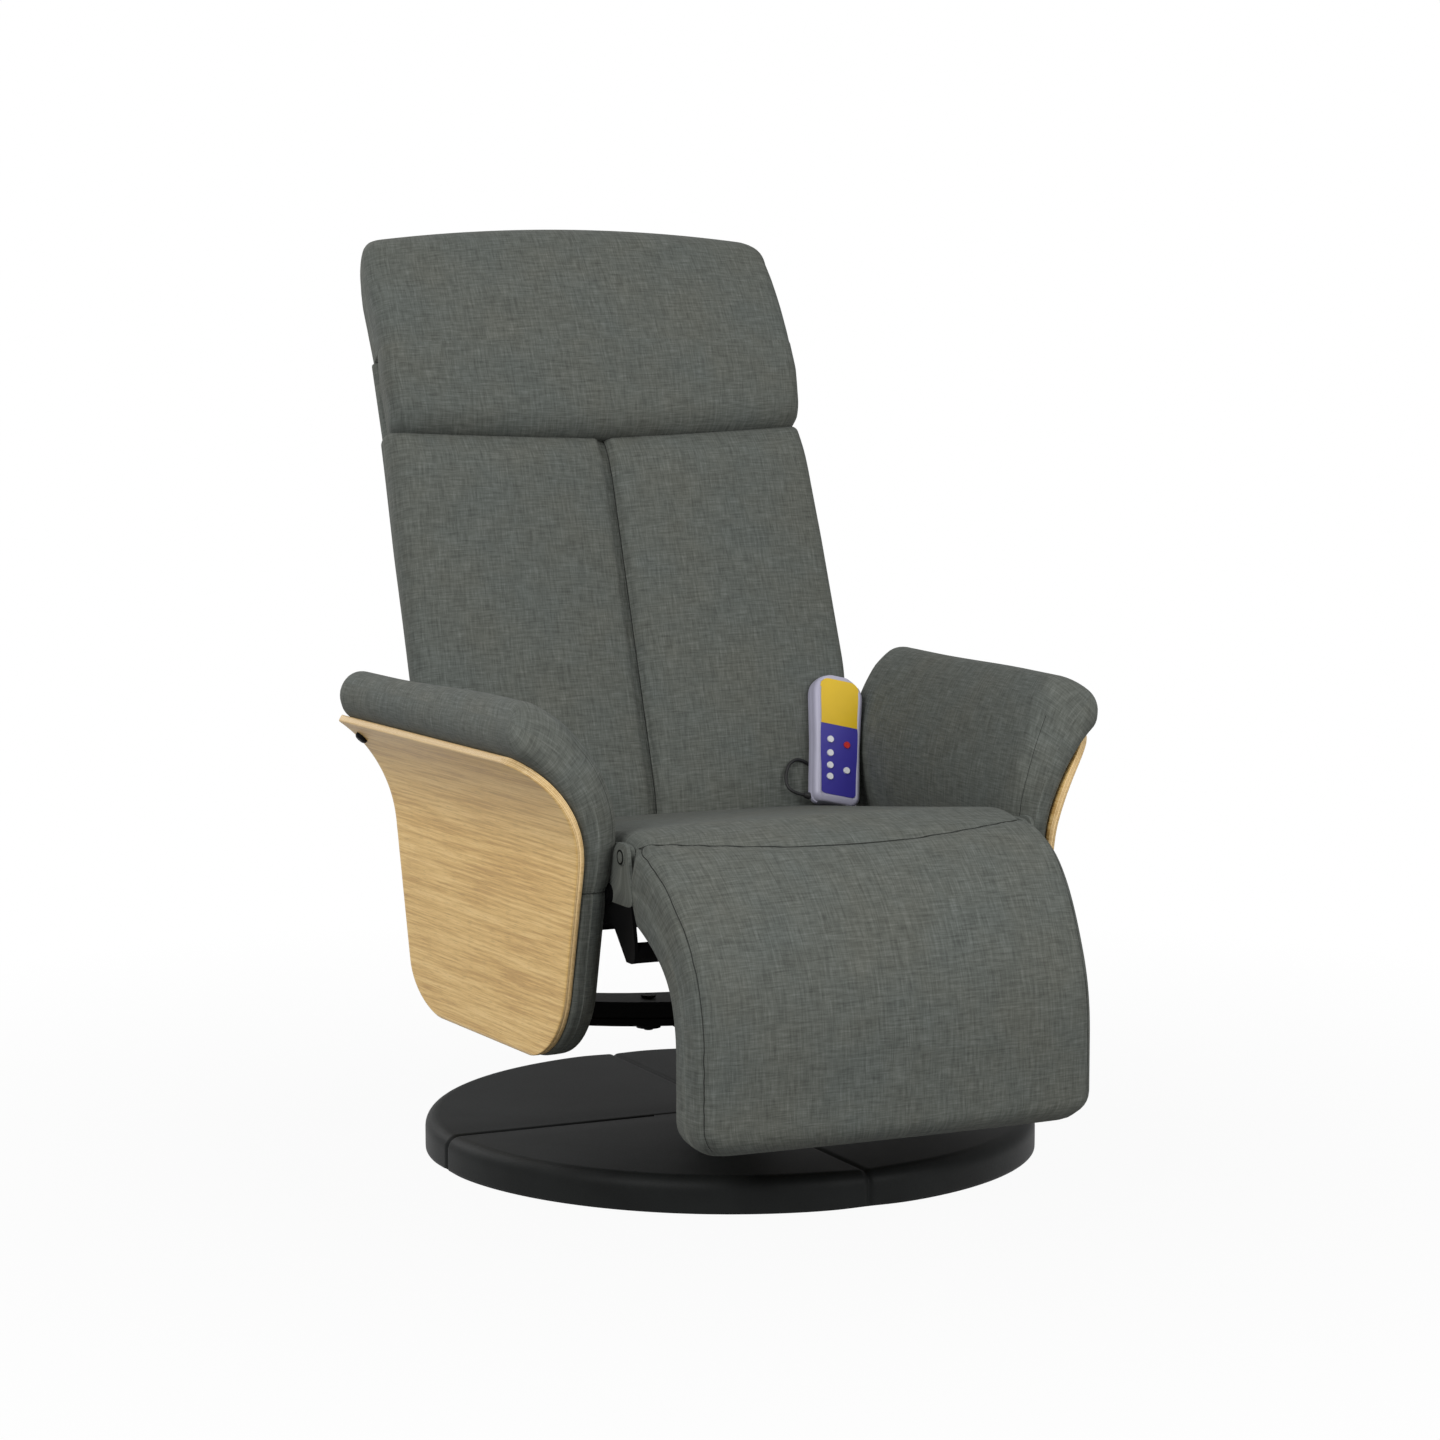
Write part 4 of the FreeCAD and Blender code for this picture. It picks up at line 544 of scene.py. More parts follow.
SKINS = {
    "black_steel": ("black_powder_coat", (0.0032, 0.0032, 0.0034), 0.5, 1500.0, 0.2, 0.25),
    "black_leather": ("black_faux_leather", (0.0078, 0.0088, 0.0086), 0.55, 620.0, 0.3, 0.30),
    "floor_pad": ("floor_felt", (0.03, 0.03, 0.03), 0.95, 2200.0, 0.3, 0.5),
    "black_plastic": ("black_moulding", (0.02, 0.02, 0.021), 0.55, 1800.0, 0.15, 0.2),
    "cord_rubber": ("cord_sheath", (0.012, 0.012, 0.012), 0.6, 1600.0, 0.2, 0.2),
    "handset_shell": ("lavender_moulding", (0.42, 0.41, 0.52), 0.42, 2600.0, 0.05, 0.10),
    "keypad": ("violet_overlay", (0.036, 0.028, 0.30), 0.42, 3000.0, 0.08, 0.08),
    "display": ("yellow_overlay", (0.72, 0.47, 0.004), 0.42, 3000.0, 0.05, 0.06),
    "circuit_board": ("green_laminate", (0.03, 0.16, 0.05), 0.5, 900.0, 0.2, 0.1),
    "white_button": ("white_button_gloss", (0.80, 0.80, 0.82), 0.25, 2000.0, 0.03, 0.03),
    "red_button": ("red_button_gloss", (0.56, 0.03, 0.025), 0.25, 2000.0, 0.08, 0.03)}
SPECULAR = {"black_steel": 0.06, "black_leather": 0.14}
finishes = {"linen": linen, "oak": plywood, "plywood": plywood}
for slot, skin in SKINS.items():
    finishes[slot] = grained_material(*skin, SPECULAR.get(slot, 0.5), cells=slot == "black_leather")


# Band pads: a skin round a path that has an outer and an inner line

SIDE_BULGE, RING_STEP, LEAST_HIGH = 0.004, 0.006, 0.0012


def band_pad(name, outer, inner, half_width, body, replaces, shape, place, cap, corner, ends, side_ends=None,
             inner_corner=0.010, taper=0.0, step=RING_STEP, counts=(4, 7, 62), middle_seam=False):
    """Rings of rounded rectangles between an outer and an inner line, drawn in at the rounded ends.

    Each ring lies across the path, at even steps or, with no step, at the path's own points. ends are the
    radii in thickness and side_ends those in width. taper is how much narrower the inner face is on each
    side. shape(across share, run share) adds height to the outer side. The pad is filled with air up to the
    cap, and held down along a middle seam if it has one. Gives the piece and its grid of points.
    """
    run = walked((outer + inner) / 2)
    total = run[-1]
    spots = run if step is None else end_spaced(total, step, *ends)
    take = [np.stack([np.interp(spots, run, line[:, i]) for i in range(2)], -1) for line in (outer, inner)]
    centre = (take[0] + take[1]) / 2
    across_path = take[0] - take[1]
    thick = np.linalg.norm(across_path, axis=1)
    across_path /= thick[:, None]
    inset = rounded_end(spots, total, *ends)
    high = np.maximum(thick / 2 - inset, LEAST_HIGH)
    reach = np.interp(spots, run, half_width)
    reach = reach - np.minimum(rounded_end(spots, total, *(side_ends or ends)), reach * 0.5)
    narrow = np.interp(spots, run, np.broadcast_to(taper, len(run)))
    top_x, top_d = half_ring(*counts, reach, high, np.minimum(corner, high * 0.92))
    low_x, low_d = half_ring(*counts, reach, high, np.minimum(inner_corner, high * 0.92))
    across, depth = whole_ring(top_x, low_x), whole_ring(top_d, -low_d)
    level = np.clip(depth / high[:, None], -1, 1)
    at_side = np.abs(across) > reach[:, None] * 0.9
    across = across + np.sign(across) * SIDE_BULGE * (1 - level ** 2) * at_side
    across = across * (1 - (narrow / reach)[:, None] * (1 - level) / 2)
    share = np.clip(top_x / reach[:, None], -1, 1)
    fade = np.clip(top_d / high[:, None], 0, 1) * np.clip(1 - inset / (thick / 2), 0, 1)[:, None]
    half = top_x.shape[1]
    depth[:, :half] += shape(share, (spots / total)[:, None] + 0 * share) * fade
    spot = centre[:, None, :] + across_path[:, None, :] * depth[..., None]
    grid = place(across, spot[..., 0], spot[..., 1])
    piece = ring_piece(name, grid, linen, body, replaces)
    held = held_points(grid, half)
    held[:, half // 2 - 1: half // 2 + 1] |= middle_seam
    fill_with_air(piece, held, cap)
    return piece, grid


def crowned(height):
    """A shape for a pad: a parabola across."""
    return lambda across, along: height * (1 - across ** 2)


def upright(x, y, z):
    return np.stack(np.broadcast_arrays(x, y, z), -1)


# The seat along its tilt, how far its top stands above the frame, and the leg's curve and foot

SEAT_REAR, SEAT_FRONT, SEAT_BOARD_UP, SEAT_HALF_WIDTH = 0.478, 0.012, -0.057, 0.2315
SEAT_RISE = ((0.012, 0.014), (0.10, 0.0115), (0.41, 0.0045), (0.474, 0.004))
SEAT_SWELL = ((0, 0), (0.3, 0.002), (0.6, 0.004), (1, 0.007))
LEG_Y, LEG_Z, LEG_FOOT_Z, LEG_ROUND, LEG_BOARD_ROUND = -0.224, 0.190, 0.0885, 0.200, 0.1308
LEG_TURN, LEG_FULL_TURN, LEG_FULLER, HINGE_SHOULDER = 78, 62, 0.014, 0.0092


def seat_and_leg_pad():
    """One waterfall pad: along the tilted seat, over the front edge and down the hanging legrest.

    The outer line is the seat's top, a curve of 214 mm easing to 200 about the legrest's curve centre, then
    straight down; the inner line is the seat board and a circle of 131 mm. Both are evened out where they
    meet. Just past the hinge the pad swells sideways over the hinge plates and settles to the leg's width.
    """
    along = np.linspace(SEAT_REAR, SEAT_FRONT, 80)
    degrees = np.linspace(LEG_TURN, 0, 40)
    turn = np.radians(degrees)
    drop = np.linspace(LEG_Z, LEG_FOOT_Z, 22)[1:]

    def waterfall(up, radius, last_radius):
        return np.concatenate([
            on_seat(0, along, up)[:, 1:],
            np.stack([LEG_Y - radius * np.cos(turn), LEG_Z + radius * np.sin(turn)], -1),
            np.stack([np.full_like(drop, LEG_Y - last_radius), drop], -1)])

    front_round = LEG_ROUND + LEG_FULLER * np.clip(turn / math.radians(LEG_FULL_TURN), 0, 1) ** 2
    outer = smooth_rows(waterfall(table_at(along, SEAT_RISE), front_round, LEG_ROUND), 6)
    inner = smooth_rows(waterfall(SEAT_BOARD_UP, LEG_BOARD_ROUND, LEG_BOARD_ROUND), 10)
    leave = np.clip((LEG_TURN - degrees) / 5, 0, 1)
    settle = np.clip((70 - degrees) / 45, 0, 1)
    shoulder = HINGE_SHOULDER * eased(leave) * (1 - eased(settle))
    width = SEAT_HALF_WIDTH + np.pad(shoulder, (len(along), len(drop)))

    def crown(across, run):
        return table_at(run, SEAT_SWELL) * (1 - across ** 2) + 0.003 * (1 - across ** 8)

    return band_pad(
        "seat_and_leg_pad", outer, inner, width, None, ("seat_cushion", "footrest_cushion"), crown, upright,
        cap=0.006, corner=0.013, ends=(0.016, 0.026), side_ends=(0.008, 0.034))


# The back along its height: the crease, the back pad, the headrest and the rear panel

CREASE_UP, CREASE_FADE, BACK_REACH = 0.476, 0.075, 0.27
BACK_FOOT, BACK_TOP, BACK_REAR = -0.005, 0.481, 0.0597
BACK_FRONT = ((0, 0.006), (0.03, 0.0), (0.44, 0.0), (0.481, 0.010))
BACK_HEEL = ((0, 0.027), (0.06, 0))
BACK_WIDTHS = ((0, 0.272), (0.18, 0.286), (0.346, 0.280), (0.48, 0.272))
HEAD_LOW, HEAD_EDGE, HEAD_HIGH = 0.512, 0.5990, 0.722
HEAD_EDGE_ROWS = (0.5985, 0.5994, 0.6004, 0.6015, 0.604)
HEAD_REAR, HEAD_OVERHANG = 0.0600, 0.0975
HEAD_LEAN = (
    (HEAD_LOW, -0.0158), (0.545, -0.0166), (0.571, -0.0158), (0.61, -0.0118), (0.654, -0.004),
    (0.69, 0.0055), (HEAD_HIGH, 0.0150))
HEAD_WIDTHS = ((0.470, 0.264), (0.486, 0.270), (0.56, 0.2745), (0.70, 0.271), (0.735, 0.2685))
HEAD_TAPER = ((0.47, 0.012), (0.5986, 0.0163), (0.599, 0.024), (0.68, 0.016))
PANEL_FOOT, PANEL_TOP, PANEL_FRONT = 0.047, 0.5982, 0.0607
PANEL_WIDTHS = ((0.047, 0.245), (0.1, 0.249), (0.3, 0.252), (0.5, 0.2535), (0.598, 0.2555))


def crease_lift(x, up):
    """How far the crease is drawn up: more by the square of the way out, fading up and down in a bell."""
    return (0.005 + 0.011 * (x / BACK_REACH) ** 2) * np.exp(-((up - CREASE_UP) / CREASE_FADE) ** 2)


def on_creased_back(x, along, up):
    return on_back(x, along, up + crease_lift(x, up))


def back_pad():
    """Two tall panels with a deep seam between them, widest at the elbows, drawn in upwards and to the rear.

    Across, each panel is a parabola raised to a power; a narrow bell is taken off at the seam.
    """
    run = np.linspace(BACK_FOOT, BACK_TOP, 90)
    outer = np.stack([smooth_rows(table_at(run, BACK_FRONT), 8), run], -1)
    inner = np.stack([np.full_like(run, BACK_REAR), run + table_at(run, BACK_HEEL)], -1)
    width = smooth_rows(table_at(run, BACK_WIDTHS), 6)

    def panels(across, along):
        valley = np.exp(-(across / 0.022) ** 2) * 0.010
        crest = 0.014 * (1 - (2 * np.abs(across) - 1) ** 2) ** 0.8 + 0.003
        return crest * np.clip((1 - along) * 14, 0, 1) ** 0.5 - valley

    return band_pad(
        "back_pad", outer, inner, width, "backrest", ("back_cushion",), panels, on_creased_back, cap=0.008,
        corner=0.019, ends=(0.010, 0.010), taper=0.005 + 0.026 * (1 - run / 0.473), counts=(4, 8, 108),
        middle_seam=True)


def headrest_pad():
    """A thick pad that bulges over the crease below it, leans back to its arched top and closes there.

    The front runs in a quarter ellipse up from the crease, along a smooth line, and over the top in another;
    the rear stands back below the overhang and comes forward to meet the front at the top.
    """
    sweep = np.linspace(0, math.pi / 2, 14)
    over = sweep[1:]
    lift = np.r_[
        np.linspace(HEAD_LOW, 0.5965, 14)[1:], HEAD_EDGE_ROWS,
        np.linspace(HEAD_EDGE_ROWS[-1], HEAD_HIGH, 22)[1:]]
    run = np.r_[HEAD_LOW - 0.038 * np.cos(sweep), lift, HEAD_HIGH + 0.0415 * np.sin(over)]
    low = HEAD_LEAN[0][1] + 0.032 * (1 - np.sin(sweep))
    top = HEAD_LEAN[-1][1] + 0.050 * (1 - np.cos(over))
    front = np.r_[low, smooth_rows(table_at(lift, HEAD_LEAN), 6), top]
    rear = np.where(run < HEAD_EDGE, HEAD_REAR, HEAD_OVERHANG)
    rear[-len(over):] = HEAD_OVERHANG - 0.0285 * (1 - np.cos(over))
    width = table_at(run, HEAD_WIDTHS)
    width[-len(over):] -= 0.026 * (1 - np.cos(over)) ** 1.4

    def arched(x, along, up):
        lift = np.clip((up - 0.52) / 0.237, 0, 1) ** 1.5
        return on_creased_back(x, along, up - 0.017 * lift * (x / BACK_REACH) ** 2)

    return band_pad(
        "headrest_pad", np.stack([front, run], -1), np.stack([rear, run], -1), width, "backrest",
        ("headrest_cushion",), crowned(0.004), arched, cap=0.005, corner=0.024, ends=(0, 0),
        inner_corner=0.016, taper=table_at(run, HEAD_TAPER), step=None, counts=(6, 8, 80))


def back_rear_panel():
    """The upholstered rear of the back: a shallow crowned panel below the headrest's overhang."""
    run = np.linspace(PANEL_FOOT, PANEL_TOP, 80)
    deep = 0.0720 + 0.0190 * np.clip((run - PANEL_FOOT) / 0.05, 0, 1) ** 0.5
    outer = np.stack([smooth_rows(deep, 4), run], -1)
    inner = np.stack([np.full_like(run, PANEL_FRONT), run], -1)
    return band_pad(
        "back_rear_panel", outer, inner, table_at(run, PANEL_WIDTHS), "backrest", ("back_rear_cover",),
        crowned(0.0045), on_back, cap=0.004, corner=0.014, ends=(0.005, 0.003), side_ends=(0.012, 0.002),
        inner_corner=0.003, counts=(3, 6, 60))


# Bent oak arms with their pads

ARM_FOOT_Z, ARM_BEND_Z, ARM_TIP_TURN, ARM_FLARE = 0.150, 0.365, math.radians(55), 0.143
FLARE_CENTRE_X = ARM_X + ARM_FLARE
ARM_FRONT_Y, ARM_FRONT_LEAN, ARM_FRONT_ROUND = -0.190, 0.076, 0.080
ARM_REAR_Y, ARM_REAR_SLOPE, ARM_REAR_ROUND = 0.192, 0.2289, (0.055, 0.088)
ARM_FOOT_GAP, ARM_HALF_LENGTH, ARM_SEWN_TIP = 0.0004, 0.22, 0.020
ARM_END_STEPS, PLY_COLUMNS = (0.080, 0.050, 17), 4
ARM_BOARD = {
    "low": ARM_X, "shares": (0, 1), "thick": (0.009, 0.009), "front_edge": (0, 0.491, 1e-4, 0.115, 0.088),
    "rear_corner": 0.004, "corner": 0.0018, "low_corner": (0.0018, 0.0018), "ends": (0.002, 0.002),
    "counts": (2, 4, 84)}
ARM_PAD = {
    "low": 0.2956, "shares": (0, 0.5, 0.66, 0.88, 1), "thick": (0.0235, 0.0275, 0.041, 0.057, 0.057),
    "front_edge": (0.006, 0.5649, 0.150, 0.03, 0.012), "rear_corner": 0.034, "corner": 0.026,
    "low_corner": (0.006, 0.006, 0.010, 0.020, 0.024), "ends": (0.004, 0.0283), "counts": (3, 9, 84),
    "beyond": 0.0255, "front_swell": 0.007}


def quarter_round(left, long, deep):
    """How far a corner is cut back where a length is left before its end: a quarter ellipse, long by deep."""
    return deep * (1 - np.sqrt(1 - np.clip(1 - left / long, 0, 1) ** 2))


def arm_front_edge(z, left, lip, top, high, long, deep):
    """Front edge of the shield outline: a leaning line, rounded below, in its last height and last run."""
    line = ARM_FRONT_Y - ARM_FRONT_LEAN * (z - ARM_FOOT_Z) / (top - ARM_FOOT_Z) - lip
    above = quarter_round(left, long, deep) + quarter_round(top - z, high, high)
    return line + above + quarter_round(z - ARM_FOOT_Z, ARM_FRONT_ROUND, ARM_FRONT_ROUND)


def arm_rear_edge(z, left, corner):
    """Rear edge of the shield outline: a leaning line with a round corner below and one at the tip."""
    line = ARM_REAR_Y + ARM_REAR_SLOPE * (z - ARM_FOOT_Z)
    return line - quarter_round(z - ARM_FOOT_Z, *ARM_REAR_ROUND) - quarter_round(left, corner, corner)


def arm_band(name, side, material, slot, replaces, low, shares, thick, front_edge, rear_corner, corner,
             low_corner, ends, counts, beyond=0.0, front_swell=0.0):
    """A band bent up the arm: straight, curling outwards, then straight on past the tip by a length beyond.

    It is trimmed to the shield outline at each height. low is where its outer face stands; thick and
    low_corner give its thickness and that face's edge radius at shares of the run. front_edge holds the front
    lip, its top, and the front corner's height, run and depth. front_swell thickens it at the front.
    """
    start = ARM_FOOT_Z + ARM_FOOT_GAP
    straight = ARM_BEND_Z - start
    flare_low = FLARE_CENTRE_X - low
    tip = straight + flare_low * ARM_TIP_TURN
    total = tip + beyond
    spots = end_spaced(total, RING_STEP, *ARM_END_STEPS)
    turn = np.clip((spots - straight) / flare_low, 0, ARM_TIP_TURN)
    past = np.clip(spots - tip, 0, None)
    normal = np.stack([-np.cos(turn), np.sin(turn)], -1)
    foot_x = FLARE_CENTRE_X - flare_low * np.cos(turn) + past * math.sin(ARM_TIP_TURN)
    foot_z = np.minimum(start + spots, ARM_BEND_Z) + flare_low * np.sin(turn) + past * math.cos(ARM_TIP_TURN)
    foot = np.stack([foot_x, foot_z], -1)
    places = np.array(shares) * total
    depth_here = np.interp(spots, places, thick)
    high = np.maximum(depth_here / 2 - rounded_end(spots, total, *ends), LEAST_HIGH / 2)
    top_in = np.minimum(corner, high * 0.95)
    low_in = np.minimum(np.interp(spots, places, low_corner), high * 0.95)
    ones = np.ones_like(high)
    top_d = half_ring(*counts, ones, high, top_in)[1]
    low_d = half_ring(*counts, ones, high, low_in)[1]
    across = half_ring(*counts, ones * ARM_HALF_LENGTH, high, top_in)[0] / ARM_HALF_LENGTH
    swell = front_swell * eased(np.clip(0.5 - 0.9 * across, 0, 1)) * (2 * high / depth_here)[:, None]
    top_d = top_d + swell * np.clip(top_d / high[:, None], 0, 1)
    lift = whole_ring(top_d, -low_d) + (depth_here / 2)[:, None]
    spot = foot[:, None, :] + normal[:, None, :] * lift[..., None]
    left = (total - spots)[:, None]
    front = arm_front_edge(spot[..., 1], left, *front_edge)
    rear = arm_rear_edge(spot[..., 1], left, rear_corner)
    half = (rear - front) / 2
    top_y = half_ring(*counts, half[:, 0], high, top_in)[0]
    low_y = half_ring(*counts, half[:, 0], high, low_in)[0]
    share = whole_ring(top_y, low_y) / half[:, :1]
    grid = on_arm(spot[..., 0], (rear + front) / 2 + half * share, spot[..., 1], side)
    piece = ring_piece(name, grid, material, "chair_frame", replaces)
    held = held_points(grid, top_d.shape[1])
    held[total - spots < ARM_SEWN_TIP] = True
    return piece, held, grid


def show_ply_edge(panel, grid):
    """The faces within a few columns of the board's two side edges, and its end rows, show the plies."""
    corners = tube_grid(grid)
    rows, count = grid.shape[:2]
    column, row = corners[:, :, 1].min(1) % count, corners[:, :, 0].min(1)
    near = np.minimum.reduce([column, np.abs(column + 0.5 - count / 2), count - 1 - column])
    edge = (near < PLY_COLUMNS) | (row < 3) | (row > rows - 5)
    panel.data.materials.append(oak_edge)
    panel.data.polygons.foreach_set("material_index", edge.astype(np.int32))


def arms():
    """Both arms: the bent oak board, and the pad that lines it and rolls over its upper edge."""
    made = {}
    for side, word in ((1, "right"), (-1, "left")):
        panel, _, grid = arm_band(
            word + "_oak_arm", side, oak, "oak", (word + "_arm_panel",), **ARM_BOARD)
        show_ply_edge(panel, grid)
        pad, held, grid = arm_band(
            word + "_arm_cushion", side, linen, "linen", (word + "_arm_pad",), **ARM_PAD)
        fill_with_air(pad, held, 0.004)
        made[word] = (pad, grid)
    return made


# Sewn sleeves over the hinge plates

EAR_OUTLINE = ((-0.2675, 0.3995), (-0.2815, 0.332), (-0.2055, 0.332), (-0.2045, 0.3540), (-0.2395, 0.3995))
NOSE_OUTLINE = ((-0.2665, 0.3965), (-0.2665, 0.334), (-0.193, 0.334), (-0.193, 0.3905), (-0.225, 0.3965))
EAR_X, NOSE_X = (0.24175, 0.24610), (0.2350, 0.24165)
PIVOT_X, PIVOT_Y, PIVOT_Z, BUTTON_RISE, BUTTON_RADIUS = 0.2460, -0.253, 0.384, 0.0027, 0.0098
SLEEVE_PLACES, SLEEVE_SIZES = (0, 0.08, 0.3, 0.7, 0.92, 1), (0.975, 0.995, 1.0, 1.0, 0.995, 0.975)


def hinge_sleeve(name, outline, near, far, body):
    """A flat sleeve: one outline in the side plane carried from near to far, drawn in at both faces."""
    ring = resample(outline + outline[:1], 81)[:-1]
    for _ in range(12):
        ring = ring * 0.5 + (np.roll(ring, 1, 0) + np.roll(ring, -1, 0)) * 0.25
    centre = ring.mean(0)
    flat = centre + (ring - centre)[None] * np.array(SLEEVE_SIZES)[:, None, None]
    across = near + (far - near) * np.array(SLEEVE_PLACES)[:, None]
    grid = upright(across, flat[..., 0], flat[..., 1])
    ring_piece(name, grid, linen, body)


def covered_button(name, near, rise, body):
    """A cloth-covered button: rings that shrink to its crown as the root of what is left of its height."""
    height = np.linspace(0, 0.97, 9)[:, None]
    size = BUTTON_RADIUS * np.sqrt(1 - height ** 2)
    turn = np.linspace(0, 2 * math.pi, 32, endpoint=False)
    grid = upright(near + rise * height, PIVOT_Y + size * np.cos(turn), PIVOT_Z + size * np.sin(turn))
    ring_piece(name, grid, linen, body)


def hinge_sleeves():
    """On each side a sleeve over the footrest's ear, a button on its pivot, a sleeve over the rail's nose."""
    for side, word in ((1, "right"), (-1, "left")):
        hinge_sleeve(word + "_ear_sleeve", EAR_OUTLINE, EAR_X[0] * side, EAR_X[1] * side, "footrest")
        covered_button(word + "_pivot_button", PIVOT_X * side, BUTTON_RISE * side, "footrest")
        hinge_sleeve(word + "_rail_sleeve", NOSE_OUTLINE, NOSE_X[0] * side, NOSE_X[1] * side, "chair_frame")


# Leather-covered base

BASE_RADIUS, BASE_RIM, BASE_TOP, BASE_BORE = 0.350, 0.015, 0.041, 0.044
BASE_DENT, BASE_DENT_WIDTH, BASE_SWELL, BASE_SWELL_WIDTH = 0.0024, 0.0032, 0.0012, 0.03


def base_leather():
    """A turned cover: flat top, quarter-round rim and upright side; shallow seams cross it along X and Y.

    The outside is dented in a bell at the seams and swells between them; the inside is a plain lining.
    """
    turn = np.linspace(0, math.pi / 2, 10)
    rim = (BASE_RADIUS - BASE_RIM * (1 - np.sin(turn)), BASE_TOP - BASE_RIM * (1 - np.cos(turn)))
    shown = np.concatenate([
        np.linspace((BASE_BORE, BASE_TOP), (0.334, BASE_TOP), 56), np.stack(rim, -1),
        np.linspace((BASE_RADIUS, 0.0235), (BASE_RADIUS, 0.0035), 9)])
    profile = np.concatenate([
        shown, np.linspace((0.3485, 0.0031), (0.3442, 0.0031), 4),
        np.linspace((0.3442, 0.006), (0.3442, 0.0248), 4), np.linspace((0.33, 0.0252), (0.0955, 0.0252), 20),
        np.linspace((0.0955, 0.0401), (BASE_BORE, 0.0401), 10)])
    quarter = np.linspace(-1, 1, 180, endpoint=False)
    quarter = np.sign(quarter) * np.abs(quarter) ** 1.35 * 45
    turn = np.radians(np.concatenate([quarter + 90 * i for i in range(4)]))[:, None]
    r, z = profile.T
    off = np.minimum(np.abs(r * np.cos(turn)), np.abs(r * np.sin(turn)))
    dent = np.exp(-(off / BASE_DENT_WIDTH) ** 2) * BASE_DENT
    swell = (1 - np.exp(-(off / BASE_SWELL_WIDTH) ** 2)) * BASE_SWELL
    lift = (swell - dent) * (np.arange(len(profile)) < len(shown))
    slope = np.gradient(profile, axis=0)
    slope /= np.linalg.norm(slope, axis=1, keepdims=True)
    r, z = r - slope[:, 1] * lift, z + slope[:, 0] * lift
    grid = np.stack([r * np.cos(turn), r * np.sin(turn), z], -1).transpose(1, 0, 2)
    grid = np.concatenate([grid, grid[:1]], 0)
    ring_piece(
        "base_leather", grid, finishes["black_leather"], "base", ("base_cover",),
        closed_ends=False)


# Handset body and cord

HANDSET_LENGTH, HANDSET_ENDS, HANDSET_HALF_DEPTH, HANDSET_MIDDLE = 0.164, (0.012, 0.024), 0.0124, 0.012
HANDSET_REACH = (
    (0, 0.0315), (0.03, 0.0318), (0.075, 0.0314), (0.11, 0.0329), (0.140, 0.0343), (0.164, 0.0331))
HANDSET_EDGE, HANDSET_END_EDGES = 0.007, (0.0030, 0.005, 0.0065)
WINDOW_FOOT, WINDOW_HEAD, WINDOW_REACH, WINDOW_FLARE, WINDOW_DEPTH = 0.0085, 0.1585, 0.0255, 0.0152, 0.0018


def handset_body():
    """A smooth moulded body: a rounded ring at each height, wider at the head, waisted, round at both ends.

    Its face is sunk inside a window that widens towards the head.
    """
    up = end_spaced(HANDSET_LENGTH, 0.004, *HANDSET_ENDS)
    inset = rounded_end(up, HANDSET_LENGTH, *HANDSET_ENDS)
    reach = smooth_rows(table_at(up, HANDSET_REACH), 6)
    reach = np.maximum(reach - inset * np.where(up > 0.08, 0.92, 0.8), 0.004)
    edge = np.r_[HANDSET_END_EDGES, np.full(len(up) - 6, HANDSET_EDGE), HANDSET_END_EDGES[::-1]]
    high = HANDSET_HALF_DEPTH - np.minimum(inset, 0.012) * 0.35
    across, depth = half_ring(2, 7, 26, reach, high, np.minimum(edge, high * 0.8))
    up = up[:, None]
    sunk = WINDOW_DEPTH
    beside = WINDOW_REACH + WINDOW_FLARE * (up - 0.08) - np.abs(across)
    for margin in (beside, up - WINDOW_FOOT, WINDOW_HEAD - up):
        sunk = sunk * np.clip(margin / 0.001, 0, 1)
    grid = on_handset(whole_ring(across, across), up, whole_ring(depth - sunk, -depth) + HANDSET_MIDDLE)
    ring_piece(
        "handset_body", grid, finishes["handset_shell"], "chair_frame",
        ("handset_rear_shell", "handset_front_shell"))


CORD_ROUTE = (
    (0.18489, 0.18214, 0.37227), (0.17027, 0.18214, 0.37564), (0.164, 0.191, 0.386), (0.171, 0.201, 0.406),
    (0.188, 0.2075, 0.415), (0.207, 0.208, 0.404), (0.224, 0.204, 0.385), (0.240, 0.199, 0.370),
    (0.252, 0.194, 0.356), (0.264, 0.191, 0.343), (0.263, 0.187, 0.326), (0.249, 0.185, 0.3185),
    (0.2395, 0.185, 0.3185))


def handset_cord():
    """The handset's cord: one smooth spline through its looped route into the seat rail."""
    curve = bpy.data.curves.new("handset_lead", "CURVE")
    curve.dimensions = "3D"
    spline = curve.splines.new("NURBS")
    spline.points.add(len(CORD_ROUTE) - 1)
    spline.points.foreach_set("co", np.insert(CORD_ROUTE, 3, 1, axis=1).ravel())
    spline.order_u = 3
    spline.use_endpoint_u = True
    spline.resolution_u = 10
    curve.bevel_depth = 0.002
    curve.bevel_resolution = 5
    curve.use_fill_caps = True
    lead = add_object("handset_lead", curve)
    curve.materials.append(finishes["cord_rubber"])
    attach(lead, "chair_frame")
    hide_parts("handset_cord")


# Finishes of the carried-over solids

def finish_solids():
    """Gives each solid the material of its slot."""
    for part in frame["record"]["subparts"]:
        materials = frame["nodes"][part["node"]].data.materials
        materials.clear()
        materials.append(finishes[part["material_slot"]])


finish_solids()
seat_pad, seat_grid = seat_and_leg_pad()
back, back_grid = back_pad()
head, _ = headrest_pad()
rear, _ = back_rear_panel()
arm_pads = arms()
hinge_sleeves()
base_leather()
handset_body()
handset_cord()


# Seams

FRONT_Y, SEAM_REACH, SEAM_BOW, SEAM_SAG, ARM_SEAM_Z = -0.268, 0.236, 0.046, 0.007, 0.345


